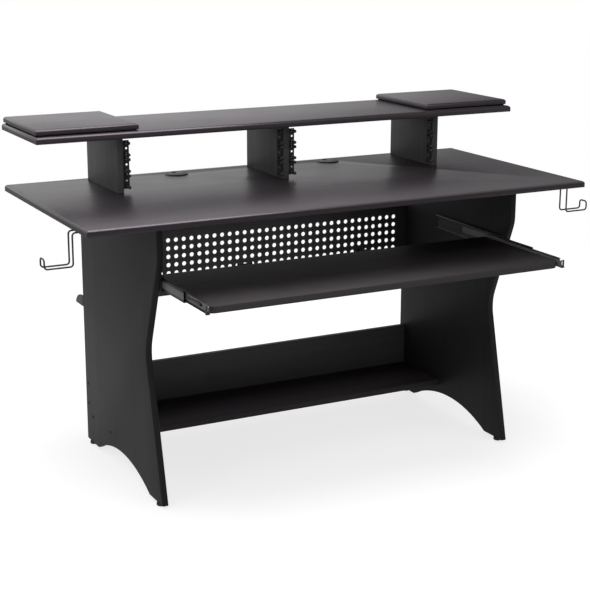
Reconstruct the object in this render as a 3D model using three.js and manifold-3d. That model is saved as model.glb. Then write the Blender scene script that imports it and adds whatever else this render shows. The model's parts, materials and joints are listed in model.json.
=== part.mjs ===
// Studio desk with a raised shelf, two rack bays, a perforated modesty panel and a sliding keyboard tray.
// Millimetres, +Z up, +X to the right as seen from the seat, +Y towards the wall behind the desk.

import * as THREE from "three";
import { mergeVertices } from "three/addons/utils/BufferGeometryUtils.js";
import Module from "manifold-3d";

const wasm = await Module();
wasm.setup();

// Boards
const boardThickness = 18;
const boardEdgeRadius = 9;
const boardCornerRadius = 3;
const topWidth = 1500;
const topDepth = 690;
const topHeight = 780;

// Side panels, seen from the side
const panelOverhang = 200;
const panelInset = 53.5;
const panelShoulderHeight = 668;
const panelShoulderRadius = 90;
const panelWaistHeight = 410;
const panelWaistDepth = 97;
const panelWaistRadius = 120;
const footLength = 91.5;
const archRise = 50;
const panelEdgeRadius = 2;
const glideHeight = 8;
const glideRadius = 12;
const glideInset = 32;
const glideEdge = 2;
const glideSides = 14;

// Foot shelf and the board that stands on it
const footShelfUnderside = 81;
const footShelfDepth = 230;
const footShelfInset = 11.5;
const backBoardHeight = 125;
const stretcherEdgeRadius = 1.5;

// Perforated modesty panel
const sheetThickness = 1.5;
const sheetBendRadius = 2;
const modestyInset = 18.7;
const modestyDrop = 137.5;
const modestyHeight = 201;
const modestyLip = 14;
const cleatWidth = 22;
const cleatHeight = 40;
const cleatLeg = 14;
const cleatInset = 24;
const cleatThickness = 1.5;
const holePitch = 25;
const holeDiameter = 13;
const holeEndMargin = 44;
const holeEdgeMargin = 30;
const holeSides = 6;

// Rear cable tray
const trayFloorDepth = 62;
const trayFloorBelowModesty = 10.5;
const trayWallHeight = 34;
const trayRearLip = 7;
const trayTabWidth = 52;
const trayTabHeight = 72;
const trayTabEndInset = 122;
const trayTabCount = 3;
const trayTabCorner = 8;
const tieSlotWidth = 16;
const tieSlotHeight = 5;
const tieSlotDrop = 14;

// Risers, rack rails and the upper shelf
const riserHeight = 155;
const riserBackInset = 30;
const riserDepth = 245;
const riserEdgeRadius = 1.5;
const shelfDepth = 317;
const rackPanelWidth = 482.6;
const rackPlay = 4.4;
const rackHoleInset = 8.75;
const rackUnit = 44.45;
const rackUnits = 3;
const rackHoleRise = 15.875;
const rackHoleDiameter = 7;
const railEdge = 7.55;
const railSideFlange = 26;
const railThickness = 2;
const railSetback = 5;
const railHoleSides = 6;

// Speaker platforms
const platformWidth = 288;
const platformEndInset = 5;
const platformFrontInset = 19;
const platformThickness = 15;
const platformCornerRadius = 3;
const platformEdgeRadius = 8;
const padThickness = 3;
const padInset = 5;

// Cable grommets
const grommetInset = 61;
const grommetHoleRadius = 30;
const grommetFlangeRadius = 34;
const grommetRim = 2.5;
const grommetWall = 2.2;
const grommetLedge = 2.6;
const grommetCapThickness = 3;
const grommetSlotWidth = 15;
const grommetSlotDepth = 17;
const grommetSides = 20;

// Keyboard tray and its telescopic slides
const trayBoardDepth = 352;
const keyboardClearance = 153;
const trayBoardEdgeRadius = 2;
const trayBoardFrontCornerRadius = 20;
const trayBoardRearCornerRadius = 5;
const trayPulledOut = 272;
const slideSpace = 12.7;
const slideLength = 350;
const slideInset = 20.5;
const slideHeight = 41;
const slideCentreAboveBoardUnderside = 14;
const slideWall = 1.2;
const slideLip = 3;
const slideBendRadius = 1.5;
const slideNose = 6;
const middleWall = 1;
const middleDepth = 8.6;
const middleWebGap = 2.2;
const innerHeight = 25;
const innerDepth = 6.8;
const innerNoseCut = 9;
const innerSlotLength = 16;
const innerSlotWidth = 6;
const innerSlotPitch = 76;
const innerSlotCount = 4;
const retainerLength = 150;
const retainerThickness = 0.7;
const ballGap = 0.3;
const ballsInRow = 4;
const ballPitch = 36;
const leverLength = 62;
const leverWidth = 9;
const leverTailWidth = 5;
const leverThickness = 2;
const leverFromNose = 48;

// Side hooks
const wireDiameter = 4.5;
const wireBend = 8;
const wireSpacing = 30;
const wireSides = 6;
const wireBendSteps = 3;
const hookInset = 105;
const hookRunUnderTop = 62;
const hookLegGap = 4.5;
const hookDrop = 85;
const hookReach = 74;
const hookTip = 25;
const hookPlateLength = 46;
const hookPlateOverhang = 12;
const hookPlateThickness = 2;
const weldDepth = 0.4;

// Corner brackets under the top
const bracketLeg = 20;
const bracketLength = 32;
const bracketThickness = 2;
const bracketBendRadius = 1.5;
const bracketFrontInset = 46.5;
const bracketRearInset = 76.5;

// Clearances and cuts
const clearance = 0.3;
const overrun = 5;
const arcSteps = 3;
const easeSteps = 2;
const stripBendSteps = 2;
const waistSteps = 10;
const archSteps = 16;
const trayEndSteps = 8;
const slotCornerShare = 0.48;
const weldTolerance = 1e-4;

// Sizes that follow from the ones above
const halfSpan = topWidth / 2 - panelOverhang;
const innerHalfSpan = halfSpan - boardThickness;
const topUnderside = topHeight - boardThickness;
const topBack = topDepth / 2;
const panelBack = topBack - panelInset;
const footShelfBack = panelBack - footShelfInset;
const footShelfFront = footShelfBack - footShelfDepth;
const modestyFront = panelBack - modestyInset;
const modestyBottom = topUnderside - modestyDrop - modestyHeight;
const trayFloorHeight = modestyBottom - trayFloorBelowModesty;
const rackBay = rackPanelWidth + rackPlay;
const riserFront = topBack - riserBackInset - riserDepth;
const shelfFront = topBack - shelfDepth;
const shelfUnderside = topHeight + riserHeight;
const shelfTop = shelfUnderside + boardThickness;
const railHeight = rackUnits * rackUnit;
const railBottom = topHeight + (riserHeight - railHeight) / 2;
const traySideX = innerHalfSpan - slideSpace;
const slideHomeFront = slideInset - panelBack;
const trayBoardUnderside = topUnderside - keyboardClearance - boardThickness;
const innerFront = slideHomeFront - trayPulledOut;
const trayBoardFront = innerFront + slideNose;
const slideZ = trayBoardUnderside + slideCentreAboveBoardUnderside;
const cableTrayBack = panelBack + trayFloorDepth;
const hookY = hookInset - topBack;
const hookEdgeX = topWidth / 2 + hookLegGap + wireDiameter / 2;
const grommetX = (rackBay + boardThickness) / 2;
const grommetY = topBack - grommetInset;

// The part's own origin is on the floor, in the middle of the space that the desk takes up.
const originY = (innerFront + cableTrayBack) / 2;

// Finishes

const finish = (color, roughness, metalness = 0) =>
  new THREE.MeshStandardMaterial({ color, roughness, metalness });

const melamine = finish(0x2c2a2d, 0.55);
const panelFace = finish(0x2a2a2c, 0.6);
const blackSteel = finish(0x18181a, 0.5, 0.3);
const blackPlastic = finish(0x141416, 0.5);
const slideSteel = finish(0x2b2c2e, 0.4, 0.8);
const zincSteel = finish(0x9a9b9c, 0.35, 0.9);
const foam = finish(0x101011, 0.9);

// Geometry to solid and back

function toSolid(geometry) {
  const bare = geometry.index ? geometry.clone() : geometry;
  bare.deleteAttribute("normal");
  bare.deleteAttribute("uv");
  const merged = mergeVertices(bare, weldTolerance);
  return new wasm.Manifold(
    new wasm.Mesh({
      numProp: 3,
      vertProperties: merged.attributes.position.array,
      triVerts: new Uint32Array(merged.index.array),
    }),
  );
}

function toGeometry(solid) {
  const { numProp, vertProperties, triVerts } = solid.getMesh();
  const position = new Float32Array((vertProperties.length / numProp) * 3);
  for (let i = 0; i < position.length / 3; i++) {
    position.set(vertProperties.subarray(i * numProp, i * numProp + 3), i * 3);
  }
  return new THREE.BufferGeometry()
    .setAttribute("position", new THREE.BufferAttribute(position, 3))
    .setIndex(new THREE.BufferAttribute(triVerts, 1));
}

// Outlines are drawn on the two axes that follow the axis of the prism: y and z for x, z and x for y.
const axisFrames = {
  x: [new THREE.Vector3(0, 1, 0), new THREE.Vector3(0, 0, 1), new THREE.Vector3(1, 0, 0)],
  y: [new THREE.Vector3(0, 0, 1), new THREE.Vector3(1, 0, 0), new THREE.Vector3(0, 1, 0)],
  z: [new THREE.Vector3(1, 0, 0), new THREE.Vector3(0, 1, 0), new THREE.Vector3(0, 0, 1)],
};

function prism(axis, points, from, to, holes = []) {
  const shape = new THREE.Shape(points.map(([u, v]) => new THREE.Vector2(u, v)));
  shape.holes = holes.map((hole) => new THREE.Path(hole.map(([u, v]) => new THREE.Vector2(u, v))));
  const geometry = new THREE.ExtrudeGeometry(shape, { depth: to - from, bevelEnabled: false });
  geometry.translate(0, 0, from);
  geometry.applyMatrix4(new THREE.Matrix4().makeBasis(...axisFrames[axis]));
  return toSolid(geometry);
}

const rectangle = (u0, v0, u1, v1) => [
  [u0, v0],
  [u1, v0],
  [u1, v1],
  [u0, v1],
];

const block = ([x0, x1], [y0, y1], [z0, z1]) => prism("z", rectangle(x0, y0, x1, y1), z0, z1);

function circlePoints(centre, radius, sides, turn = 0) {
  return Array.from({ length: sides }, (_, i) => {
    const angle = turn + (2 * Math.PI * i) / sides;
    return [centre[0] + radius * Math.cos(angle), centre[1] + radius * Math.sin(angle)];
  });
}

// An outline whose corners, given as [u, v, radius], are rounded by tangent arcs.
function rounded(corners, steps = arcSteps, closed = true) {
  const count = corners.length;
  return corners.flatMap(([u, v, radius = 0], i) => {
    if (!radius || (!closed && (i === 0 || i === count - 1))) return [[u, v]];
    const corner = new THREE.Vector2(u, v);
    const before = new THREE.Vector2(...corners[(i + count - 1) % count].slice(0, 2));
    const after = new THREE.Vector2(...corners[(i + 1) % count].slice(0, 2));
    const incoming = before.sub(corner).normalize();
    const outgoing = after.sub(corner).normalize();
    const half = Math.acos(incoming.dot(outgoing)) / 2;
    const centre = incoming
      .clone()
      .add(outgoing)
      .setLength(radius / Math.sin(half))
      .add(corner);
    const start = corner.clone().addScaledVector(incoming, radius / Math.tan(half)).sub(centre);
    const turn = (Math.PI - 2 * half) * Math.sign(outgoing.cross(incoming));
    return Array.from({ length: steps + 1 }, (_, k) => {
      const point = start.clone().rotateAround(new THREE.Vector2(), (turn * k) / steps).add(centre);
      return [point.x, point.y];
    });
  });
}

// The outline of a sheet that is bent along a centre line, as a roll-formed strip is.
function bentStrip(corners, bendRadius, thickness, steps = arcSteps) {
  const radius = bendRadius + thickness / 2;
  const line = rounded(
    corners.map(([u, v]) => [u, v, radius]),
    steps,
    false,
  ).map(([u, v]) => new THREE.Vector2(u, v));
  const side = (sign) =>
    line.map((point, i) => {
      const before = line[Math.max(i - 1, 0)];
      const after = line[Math.min(i + 1, line.length - 1)];
      const first = point.equals(before) ? after.clone().sub(point) : point.clone().sub(before);
      const second = point.equals(after) ? first.clone() : after.clone().sub(point);
      const normal = first.normalize().add(second.normalize()).normalize();
      const mitre = thickness / 2 / Math.cos(Math.acos(Math.min(1, first.dot(second))) / 2);
      return [point.x - sign * normal.y * mitre, point.y + sign * normal.x * mitre];
    });
  return [...side(-1), ...side(1).reverse()];
}

// A thick outline along x with its edges eased on both faces.
function easedPanel(points, from, to, ease) {
  const shape = new THREE.Shape(points.map(([u, v]) => new THREE.Vector2(u, v)));
  const geometry = new THREE.ExtrudeGeometry(shape, {
    depth: to - from - 2 * ease,
    bevelThickness: ease,
    bevelSize: ease,
    bevelOffset: -ease,
    bevelSegments: 1,
  });
  geometry.translate(0, 0, from + ease);
  geometry.applyMatrix4(new THREE.Matrix4().makeBasis(...axisFrames.x));
  return toSolid(geometry);
}

// A board lying flat, with a sharp lower edge and a rounded upper edge. Its upright corners cut through
// the rounded edge where they are sharper than it, and otherwise the edge runs round them.
function flatBoard([x0, x1], [y0, y1], [z0, z1], edgeRadius, frontRadius, rearRadius = frontRadius) {
  const plan = rounded([
    [x0, y0, frontRadius],
    [x1, y0, frontRadius],
    [x1, y1, rearRadius],
    [x0, y1, rearRadius],
  ]);
  const sharp = Math.min(frontRadius, rearRadius) <= edgeRadius;
  const outline = sharp ? rectangle(x0, y0, x1, y1) : plan;
  const shape = new THREE.Shape(outline.map(([x, y]) => new THREE.Vector2(x, y)));
  const geometry = new THREE.ExtrudeGeometry(shape, {
    depth: z1 - z0,
    bevelThickness: edgeRadius,
    bevelSize: edgeRadius,
    bevelOffset: -edgeRadius,
    bevelSegments: arcSteps,
  });
  geometry.translate(0, 0, z0 - edgeRadius);
  return toSolid(geometry).intersect(prism("z", plan, z0, z1 + overrun));
}

// A board standing across the desk or along it, with its long edges eased.
function uprightBoard([x0, x1], [y0, y1], [z0, z1]) {
  const ease = riserEdgeRadius;
  const plan = rounded(
    [
      [x0, y0, ease],
      [x1, y0, ease],
      [x1, y1, ease],
      [x0, y1, ease],
    ],
    easeSteps,
  );
  return prism("z", plan, z0, z1);
}

// Pieces

const desk = new THREE.Group();
desk.position.y = -originY;

function place(name, solid, material) {
  const mesh = new THREE.Mesh(toGeometry(solid), material);
  mesh.name = name;
  desk.add(mesh);
}

const sides = [
  ["left", -1],
  ["right", 1],
];

const span = (a, b) => [Math.min(a, b), Math.max(a, b)];

function makeTabletop() {
  let board = flatBoard(
    [-topWidth / 2, topWidth / 2],
    [-topBack, topBack],
    [topUnderside, topHeight],
    boardEdgeRadius,
    boardCornerRadius,
  );
  for (const [, side] of sides) {
    const centre = [side * grommetX, grommetY];
    const hole = circlePoints(centre, grommetHoleRadius, grommetSides);
    board = board.subtract(prism("z", hole, topUnderside - overrun, topHeight + overrun));
  }
  place("tabletop", board, melamine);
}

function makeSidePanels() {
  const waistY = -panelBack + panelWaistDepth;
  const archHalf = panelBack - footLength;
  const archRadius = (archHalf ** 2 + archRise ** 2) / (2 * archRise);
  const archAngle = Math.asin(archHalf / archRadius);
  const archCentre = glideHeight + archRise - archRadius;
  const arch = Array.from({ length: archSteps + 1 }, (_, i) => {
    const angle = -archAngle + (2 * archAngle * i) / archSteps;
    return [archRadius * Math.sin(angle), archCentre + archRadius * Math.cos(angle)];
  });
  const front = rounded(
    [
      [-panelBack, topUnderside],
      [-panelBack, panelShoulderHeight, panelShoulderRadius],
      [waistY, panelWaistHeight, panelWaistRadius],
      [-panelBack, glideHeight],
    ],
    waistSteps,
    false,
  );
  const outline = [...front, ...arch, [panelBack, glideHeight], [panelBack, topUnderside]];
  for (const [name, side] of sides) {
    const solid = easedPanel(outline, ...span(side * innerHalfSpan, side * halfSpan), panelEdgeRadius);
    place("side_panel_" + name, solid, panelFace);
  }
}

function makeGlides() {
  const profile = [
    [0, 0],
    [glideRadius - glideEdge, 0],
    [glideRadius, glideEdge],
    [glideRadius, glideHeight - glideEdge],
    [glideRadius - glideEdge, glideHeight],
    [0, glideHeight],
  ];
  for (const [name, side] of sides) {
    for (const [end, y] of [
      ["front", -panelBack + glideInset],
      ["rear", panelBack - glideInset],
    ]) {
      const turned = new THREE.LatheGeometry(profile.map(([r, z]) => new THREE.Vector2(r, z)), glideSides);
      turned.rotateX(Math.PI / 2);
      turned.translate(side * (halfSpan - boardThickness / 2), y, 0);
      place("foot_glide_" + end + "_" + name, toSolid(turned), blackPlastic);
    }
  }
}

function makeStretchers() {
  const inside = [-innerHalfSpan, innerHalfSpan];
  const shelfTopZ = footShelfUnderside + boardThickness;
  const shelf = rounded([
    [footShelfFront, footShelfUnderside, stretcherEdgeRadius],
    [footShelfBack, footShelfUnderside],
    [footShelfBack, shelfTopZ],
    [footShelfFront, shelfTopZ, stretcherEdgeRadius],
  ]);
  place("foot_shelf", prism("x", shelf, ...inside), melamine);
  const backBoardTop = shelfTopZ + backBoardHeight;
  const backBoard = rounded([
    [footShelfBack - boardThickness, shelfTopZ],
    [footShelfBack, shelfTopZ],
    [footShelfBack, backBoardTop, stretcherEdgeRadius],
    [footShelfBack - boardThickness, backBoardTop, stretcherEdgeRadius],
  ]);
  place("lower_back_board", prism("x", backBoard, ...inside), panelFace);
}

function makeModestyPanel() {
  const half = sheetThickness / 2;
  const top = modestyBottom + modestyHeight;
  const lipEnd = modestyFront + modestyLip;
  const section = bentStrip(
    [
      [lipEnd, modestyBottom + half],
      [modestyFront + half, modestyBottom + half],
      [modestyFront + half, top - half],
      [lipEnd, top - half],
    ],
    sheetBendRadius,
    sheetThickness,
  );
  const sheet = prism("x", section, -innerHalfSpan, innerHalfSpan);
  const centreZ = modestyBottom + modestyHeight / 2;
  const holeColumns = 1 + Math.floor((2 * (innerHalfSpan - holeEndMargin)) / holePitch);
  const holeRows = 1 + Math.floor((modestyHeight - 2 * holeEdgeMargin) / holePitch);
  const cutFrom = modestyFront - overrun;
  const cutTo = modestyFront + sheetThickness + overrun;
  const holes = [];
  for (let row = 0; row < holeRows; row++) {
    for (let column = 0; column < holeColumns; column++) {
      const z = centreZ + (row - (holeRows - 1) / 2) * holePitch;
      const x = (column - (holeColumns - 1) / 2) * holePitch;
      holes.push(prism("y", circlePoints([z, x], holeDiameter / 2, holeSides), cutFrom, cutTo));
    }
  }
  place("modesty_panel", sheet.subtract(wasm.Manifold.union(holes)), blackSteel);
}

// Cleats behind the sheet's ends hold it to the side panels.
function makeModestyCleats() {
  const half = cleatThickness / 2;
  const sheetBack = modestyFront + sheetThickness;
  for (const [name, side] of sides) {
    const x = (depth) => side * (innerHalfSpan - depth);
    const corners = [
      [x(cleatWidth), sheetBack + half],
      [x(half), sheetBack + half],
      [x(half), sheetBack + cleatLeg],
    ];
    const section = bentStrip(corners, half, cleatThickness);
    for (const [end, z] of [
      ["lower", modestyBottom + cleatInset],
      ["upper", modestyBottom + modestyHeight - cleatInset - cleatHeight],
    ]) {
      place("sheet_cleat_" + end + "_" + name, prism("z", section, z, z + cleatHeight), blackSteel);
    }
  }
}

function makeCableTray() {
  const half = sheetThickness / 2;
  const section = bentStrip(
    [
      [panelBack + half, trayFloorHeight + trayWallHeight],
      [panelBack + half, trayFloorHeight + half],
      [cableTrayBack - half, trayFloorHeight + half],
      [cableTrayBack - half, trayFloorHeight + trayRearLip],
    ],
    sheetBendRadius,
    sheetThickness,
  );
  let tray = prism("x", section, -halfSpan, halfSpan);
  const endDepth = trayFloorDepth - sheetThickness;
  const endHeight = trayWallHeight - sheetThickness;
  const endBase = [panelBack + sheetThickness / 2, trayFloorHeight + half];
  const curve = Array.from({ length: trayEndSteps + 1 }, (_, i) => {
    const angle = (Math.PI / 2) * (i / trayEndSteps);
    return [endBase[0] + endDepth * Math.cos(angle), endBase[1] + endHeight * Math.sin(angle)];
  });
  for (const [, side] of sides) {
    const from = side * (halfSpan - sheetThickness);
    tray = tray.add(prism("x", [endBase, ...curve], ...span(from, side * halfSpan)));
  }
  const tabTop = trayFloorHeight + trayTabHeight;
  for (let i = 0; i < trayTabCount; i++) {
    const x = (i - (trayTabCount - 1) / 2) * (halfSpan - trayTabEndInset);
    const outline = rounded([
      [trayFloorHeight + trayRearLip - half, x - trayTabWidth / 2],
      [tabTop, x - trayTabWidth / 2, trayTabCorner],
      [tabTop, x + trayTabWidth / 2, trayTabCorner],
      [trayFloorHeight + trayRearLip - half, x + trayTabWidth / 2],
    ]);
    const slotZ = tabTop - tieSlotDrop;
    const slot = rectangle(
      slotZ - tieSlotHeight / 2,
      x - tieSlotWidth / 2,
      slotZ + tieSlotHeight / 2,
      x + tieSlotWidth / 2,
    );
    tray = tray.add(prism("y", outline, cableTrayBack - sheetThickness, cableTrayBack, [slot]));
  }
  place("cable_tray", tray, blackSteel);
}

// Each riser's middle, from left to right.
const riserPlaces = [
  ["left", -(rackBay + boardThickness)],
  ["centre", 0],
  ["right", rackBay + boardThickness],
];

function makeRisersAndShelf() {
  for (const [name, x] of riserPlaces) {
    const solid = uprightBoard(
      [x - boardThickness / 2, x + boardThickness / 2],
      [riserFront, riserFront + riserDepth],
      [topHeight, shelfUnderside],
    );
    place("riser_" + name, solid, panelFace);
  }
  const shelf = flatBoard(
    [-topWidth / 2, topWidth / 2],
    [shelfFront, topBack],
    [shelfUnderside, shelfTop],
    boardEdgeRadius,
    boardCornerRadius,
  );
  place("upper_shelf", shelf, melamine);
}

// A rail is an angle: its side flange lies on a riser's face and its front flange holds the tapped holes.
function rackRail(faceX, side) {
  const front = riserFront + railSetback;
  const half = railThickness / 2;
  const holeOffset = rackPlay / 2 + rackHoleInset;
  const section = bentStrip(
    [
      [faceX + side * (holeOffset + railEdge), front + half],
      [faceX + side * half, front + half],
      [faceX + side * half, front + railSideFlange],
    ],
    railThickness / 2,
    railThickness,
  );
  const angle = prism("z", section, railBottom, railBottom + railHeight);
  const holeX = faceX + side * holeOffset;
  const holes = [];
  for (let unit = 0; unit < rackUnits; unit++) {
    for (const step of [-1, 0, 1]) {
      const z = railBottom + (unit + 1 / 2) * rackUnit + step * rackHoleRise;
      const outline = circlePoints([z, holeX], rackHoleDiameter / 2, railHoleSides);
      holes.push(prism("y", outline, front - overrun, front + railThickness + overrun / 2));
    }
  }
  return angle.subtract(wasm.Manifold.union(holes));
}

function makeRackRails() {
  const half = boardThickness / 2;
  const [left, centre, right] = riserPlaces.map(([, x]) => x);
  place("rack_rail_left_outer", rackRail(left + half, 1), blackSteel);
  place("rack_rail_left_inner", rackRail(centre - half, -1), blackSteel);
  place("rack_rail_right_inner", rackRail(centre + half, 1), blackSteel);
  place("rack_rail_right_outer", rackRail(right - half, -1), blackSteel);
}

function makeSpeakerPlatforms() {
  for (const [name, side] of sides) {
    const outerEnd = topWidth / 2 - platformEndInset;
    const [x0, x1] = span(side * (outerEnd - platformWidth), side * outerEnd);
    const y0 = shelfFront + platformFrontInset;
    const padTop = shelfTop + padThickness;
    const padOutline = rectangle(x0 + padInset, y0 + padInset, x1 - padInset, topBack - padInset);
    place("platform_pad_" + name, prism("z", padOutline, shelfTop, padTop), foam);
    const platform = flatBoard(
      [x0, x1],
      [y0, topBack],
      [padTop, padTop + platformThickness],
      platformEdgeRadius,
      platformCornerRadius,
    );
    place("speaker_platform_" + name, platform, melamine);
  }
}

// The ring's tube lines the hole, its flange covers the edge, and the cap turns on its inner ledge.
function makeGrommets() {
  const tubeOuter = grommetHoleRadius - clearance;
  const tubeInner = tubeOuter - grommetWall;
  const capSeat = topHeight + grommetRim - grommetCapThickness - clearance;
  const profile = [
    [tubeInner - grommetLedge, topUnderside],
    [tubeOuter, topUnderside],
    [tubeOuter, topHeight],
    [grommetFlangeRadius, topHeight],
    [grommetFlangeRadius, topHeight + grommetRim / 2],
    [grommetFlangeRadius - grommetRim / 2, topHeight + grommetRim],
    [tubeInner, topHeight + grommetRim],
    [tubeInner, capSeat],
    [tubeInner - grommetLedge, capSeat],
    [tubeInner - grommetLedge, topUnderside],
  ];
  const capRadius = tubeInner - clearance;
  for (const [name, side] of sides) {
    const centre = [side * grommetX, grommetY];
    const ring = new THREE.LatheGeometry(profile.map(([r, z]) => new THREE.Vector2(r, z)), grommetSides);
    ring.rotateX(Math.PI / 2);
    ring.translate(centre[0], centre[1], 0);
    place("grommet_ring_" + name, toSolid(ring), blackPlastic);
    const capBottom = capSeat + clearance;
    const capTop = capBottom + grommetCapThickness;
    const disc = prism("z", circlePoints(centre, capRadius, grommetSides), capBottom, capTop);
    const slotEnd = centre[1] + capRadius - grommetSlotDepth;
    const slot = rounded([
      [centre[0] - grommetSlotWidth / 2, centre[1] + capRadius + overrun],
      [centre[0] - grommetSlotWidth / 2, slotEnd, grommetSlotWidth * slotCornerShare],
      [centre[0] + grommetSlotWidth / 2, slotEnd, grommetSlotWidth * slotCornerShare],
      [centre[0] + grommetSlotWidth / 2, centre[1] + capRadius + overrun],
    ]);
    const cut = prism("z", slot, capBottom - overrun, capTop + overrun);
    place("grommet_cap_" + name, disc.subtract(cut), blackPlastic);
  }
}

function makeKeyboardTray() {
  const board = flatBoard(
    [-traySideX, traySideX],
    [trayBoardFront, trayBoardFront + trayBoardDepth],
    [trayBoardUnderside, trayBoardUnderside + boardThickness],
    trayBoardEdgeRadius,
    trayBoardFrontCornerRadius,
    trayBoardRearCornerRadius,
  );
  place("keyboard_tray", board, melamine);
}

// The heights of the middle member leave the same room for the balls inside and outside it.
const ballRoom = (slideHeight / 2 - slideWall - middleWall - innerHeight / 2) / 2;
const middleHeight = innerHeight + 2 * (ballRoom + middleWall);
const ballRadius = ballRoom / 2 - ballGap;
const middleShift = trayPulledOut / 2;

// A channel open towards the other side: its web stands at one depth and its flanges reach to another.
function channel(side, webDepth, mouthDepth, height, wall, lip) {
  const x = (depth) => side * (innerHalfSpan - depth);
  const inward = Math.sign(mouthDepth - webDepth) * (wall / 2);
  const edge = height / 2 - wall / 2;
  const corners = [
    [edge - lip, x(mouthDepth - inward)],
    [edge, x(mouthDepth - inward)],
    [edge, x(webDepth + inward)],
    [-edge, x(webDepth + inward)],
    [-edge, x(mouthDepth - inward)],
    [-edge + lip, x(mouthDepth - inward)],
  ].map(([z, depth]) => [slideZ + z, depth]);
  return lip ? corners : corners.slice(1, 5);
}

// A bent cage between two members, with a row of balls in each of its flanges.
function retainer(side, webDepth, mouthDepth, flangeZ, ballDepth, centreY) {
  const height = 2 * flangeZ + retainerThickness;
  const corners = channel(side, webDepth, mouthDepth, height, retainerThickness, 0);
  const strip = bentStrip(corners, retainerThickness / 2, retainerThickness, stripBendSteps);
  const balls = [];
  for (let i = 0; i < ballsInRow; i++) {
    for (const row of [-1, 1]) {
      const ball = new THREE.IcosahedronGeometry(ballRadius, 0);
      const y = centreY + (i - (ballsInRow - 1) / 2) * ballPitch;
      ball.translate(side * (innerHalfSpan - ballDepth), y, slideZ + row * flangeZ);
      balls.push(toSolid(ball));
    }
  }
  const cage = prism("y", strip, centreY - retainerLength / 2, centreY + retainerLength / 2);
  return cage.add(wasm.Manifold.union(balls));
}

function makeSlides() {
  const middleWeb = slideWall + middleWebGap;
  const middleMouth = middleWeb + middleDepth;
  const outerMouth = slideSpace - middleWebGap;
  const outerBallZ = slideHeight / 2 - slideWall - ballRoom / 2;
  const innerBallZ = innerHeight / 2 + ballRoom / 2;
  const closedMiddle = slideHomeFront + slideLength / 2;
  for (const [name, side] of sides) {
    const strip = (corners, wall, y0) => {
      const section = bentStrip(corners, slideBendRadius - wall / 2, wall, stripBendSteps);
      return prism("y", section, y0, y0 + slideLength);
    };

    const outerCorners = channel(side, 0, outerMouth, slideHeight, slideWall, slideLip);
    place("slide_outer_" + name, strip(outerCorners, slideWall, slideHomeFront), slideSteel);

    const middleCorners = channel(side, middleWeb, middleMouth, middleHeight, middleWall, 0);
    const middle = strip(middleCorners, middleWall, slideHomeFront - middleShift);
    place("slide_middle_" + name, middle, slideSteel);

    const innerCorners = channel(side, slideSpace, slideSpace - innerDepth, innerHeight, slideWall, 0);
    let inner = strip(innerCorners, slideWall, innerFront);
    const x = (depth) => side * (innerHalfSpan - depth);
    const nose = [
      [innerFront - overrun, slideZ + innerHeight / 2 + overrun],
      [innerFront - overrun, slideZ + innerHeight / 2 - innerNoseCut],
      [innerFront, slideZ + innerHeight / 2 - innerNoseCut],
      [innerFront + innerNoseCut / 3, slideZ + innerHeight / 2 - innerNoseCut / 3],
      [innerFront + innerNoseCut, slideZ + innerHeight / 2],
      [innerFront + innerNoseCut, slideZ + innerHeight / 2 + overrun],
    ];
    inner = inner.subtract(prism("x", nose, ...span(x(slideSpace + overrun), x(0))));
    const slotCut = span(x(slideSpace + overrun), x(slideSpace - slideWall - overrun / 2));
    const slotHalf = [innerSlotLength / 2, innerSlotWidth / 2];
    for (let i = 0; i < innerSlotCount; i++) {
      const y = innerFront + slideNose + innerSlotPitch * (i + 1 / 2);
      const slot = rounded(
        [
          [y - slotHalf[0], slideZ - slotHalf[1], innerSlotWidth * slotCornerShare],
          [y + slotHalf[0], slideZ - slotHalf[1], innerSlotWidth * slotCornerShare],
          [y + slotHalf[0], slideZ + slotHalf[1], innerSlotWidth * slotCornerShare],
          [y - slotHalf[0], slideZ + slotHalf[1], innerSlotWidth * slotCornerShare],
        ],
        easeSteps,
      );
      inner = inner.subtract(prism("x", slot, ...slotCut));
    }
    place("slide_inner_" + name, inner, slideSteel);

    const outerCage = retainer(
      side,
      slideWall + (middleWebGap - retainerThickness) / 2,
      outerMouth - slideWall - clearance,
      outerBallZ,
      middleWeb + middleDepth / 2,
      closedMiddle - trayPulledOut / 4,
    );
    place("retainer_outer_" + name, outerCage, zincSteel);
    const innerCage = retainer(
      side,
      middleWeb + middleWall + clearance,
      middleMouth,
      innerBallZ,
      slideSpace - innerDepth / 2,
      closedMiddle - (3 * trayPulledOut) / 4,
    );
    place("retainer_inner_" + name, innerCage, zincSteel);
  }
}

function makeReleaseLevers() {
  for (const [name, side] of sides) {
    const y0 = innerFront + leverFromNose;
    const outline = rounded([
      [y0, slideZ - leverWidth / 2, leverWidth / 3],
      [y0 + leverLength / 3, slideZ - leverWidth / 2, leverWidth / 3],
      [y0 + leverLength / 2, slideZ - leverTailWidth / 2, leverWidth / 3],
      [y0 + leverLength, slideZ - leverTailWidth / 2, leverTailWidth / 3],
      [y0 + leverLength, slideZ + leverTailWidth / 2, leverTailWidth / 3],
      [y0 + leverLength / 2, slideZ + leverTailWidth / 2, leverWidth / 3],
      [y0 + leverLength / 3, slideZ + leverWidth / 2, leverWidth / 3],
      [y0, slideZ + leverWidth / 2, leverWidth / 3],
    ]);
    const face = slideSpace - slideWall - clearance;
    const x = (depth) => side * (innerHalfSpan - depth);
    const lever = prism("x", outline, ...span(x(face), x(face - leverThickness)));
    place("slide_lever_" + name, lever, blackPlastic);
  }
}

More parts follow.
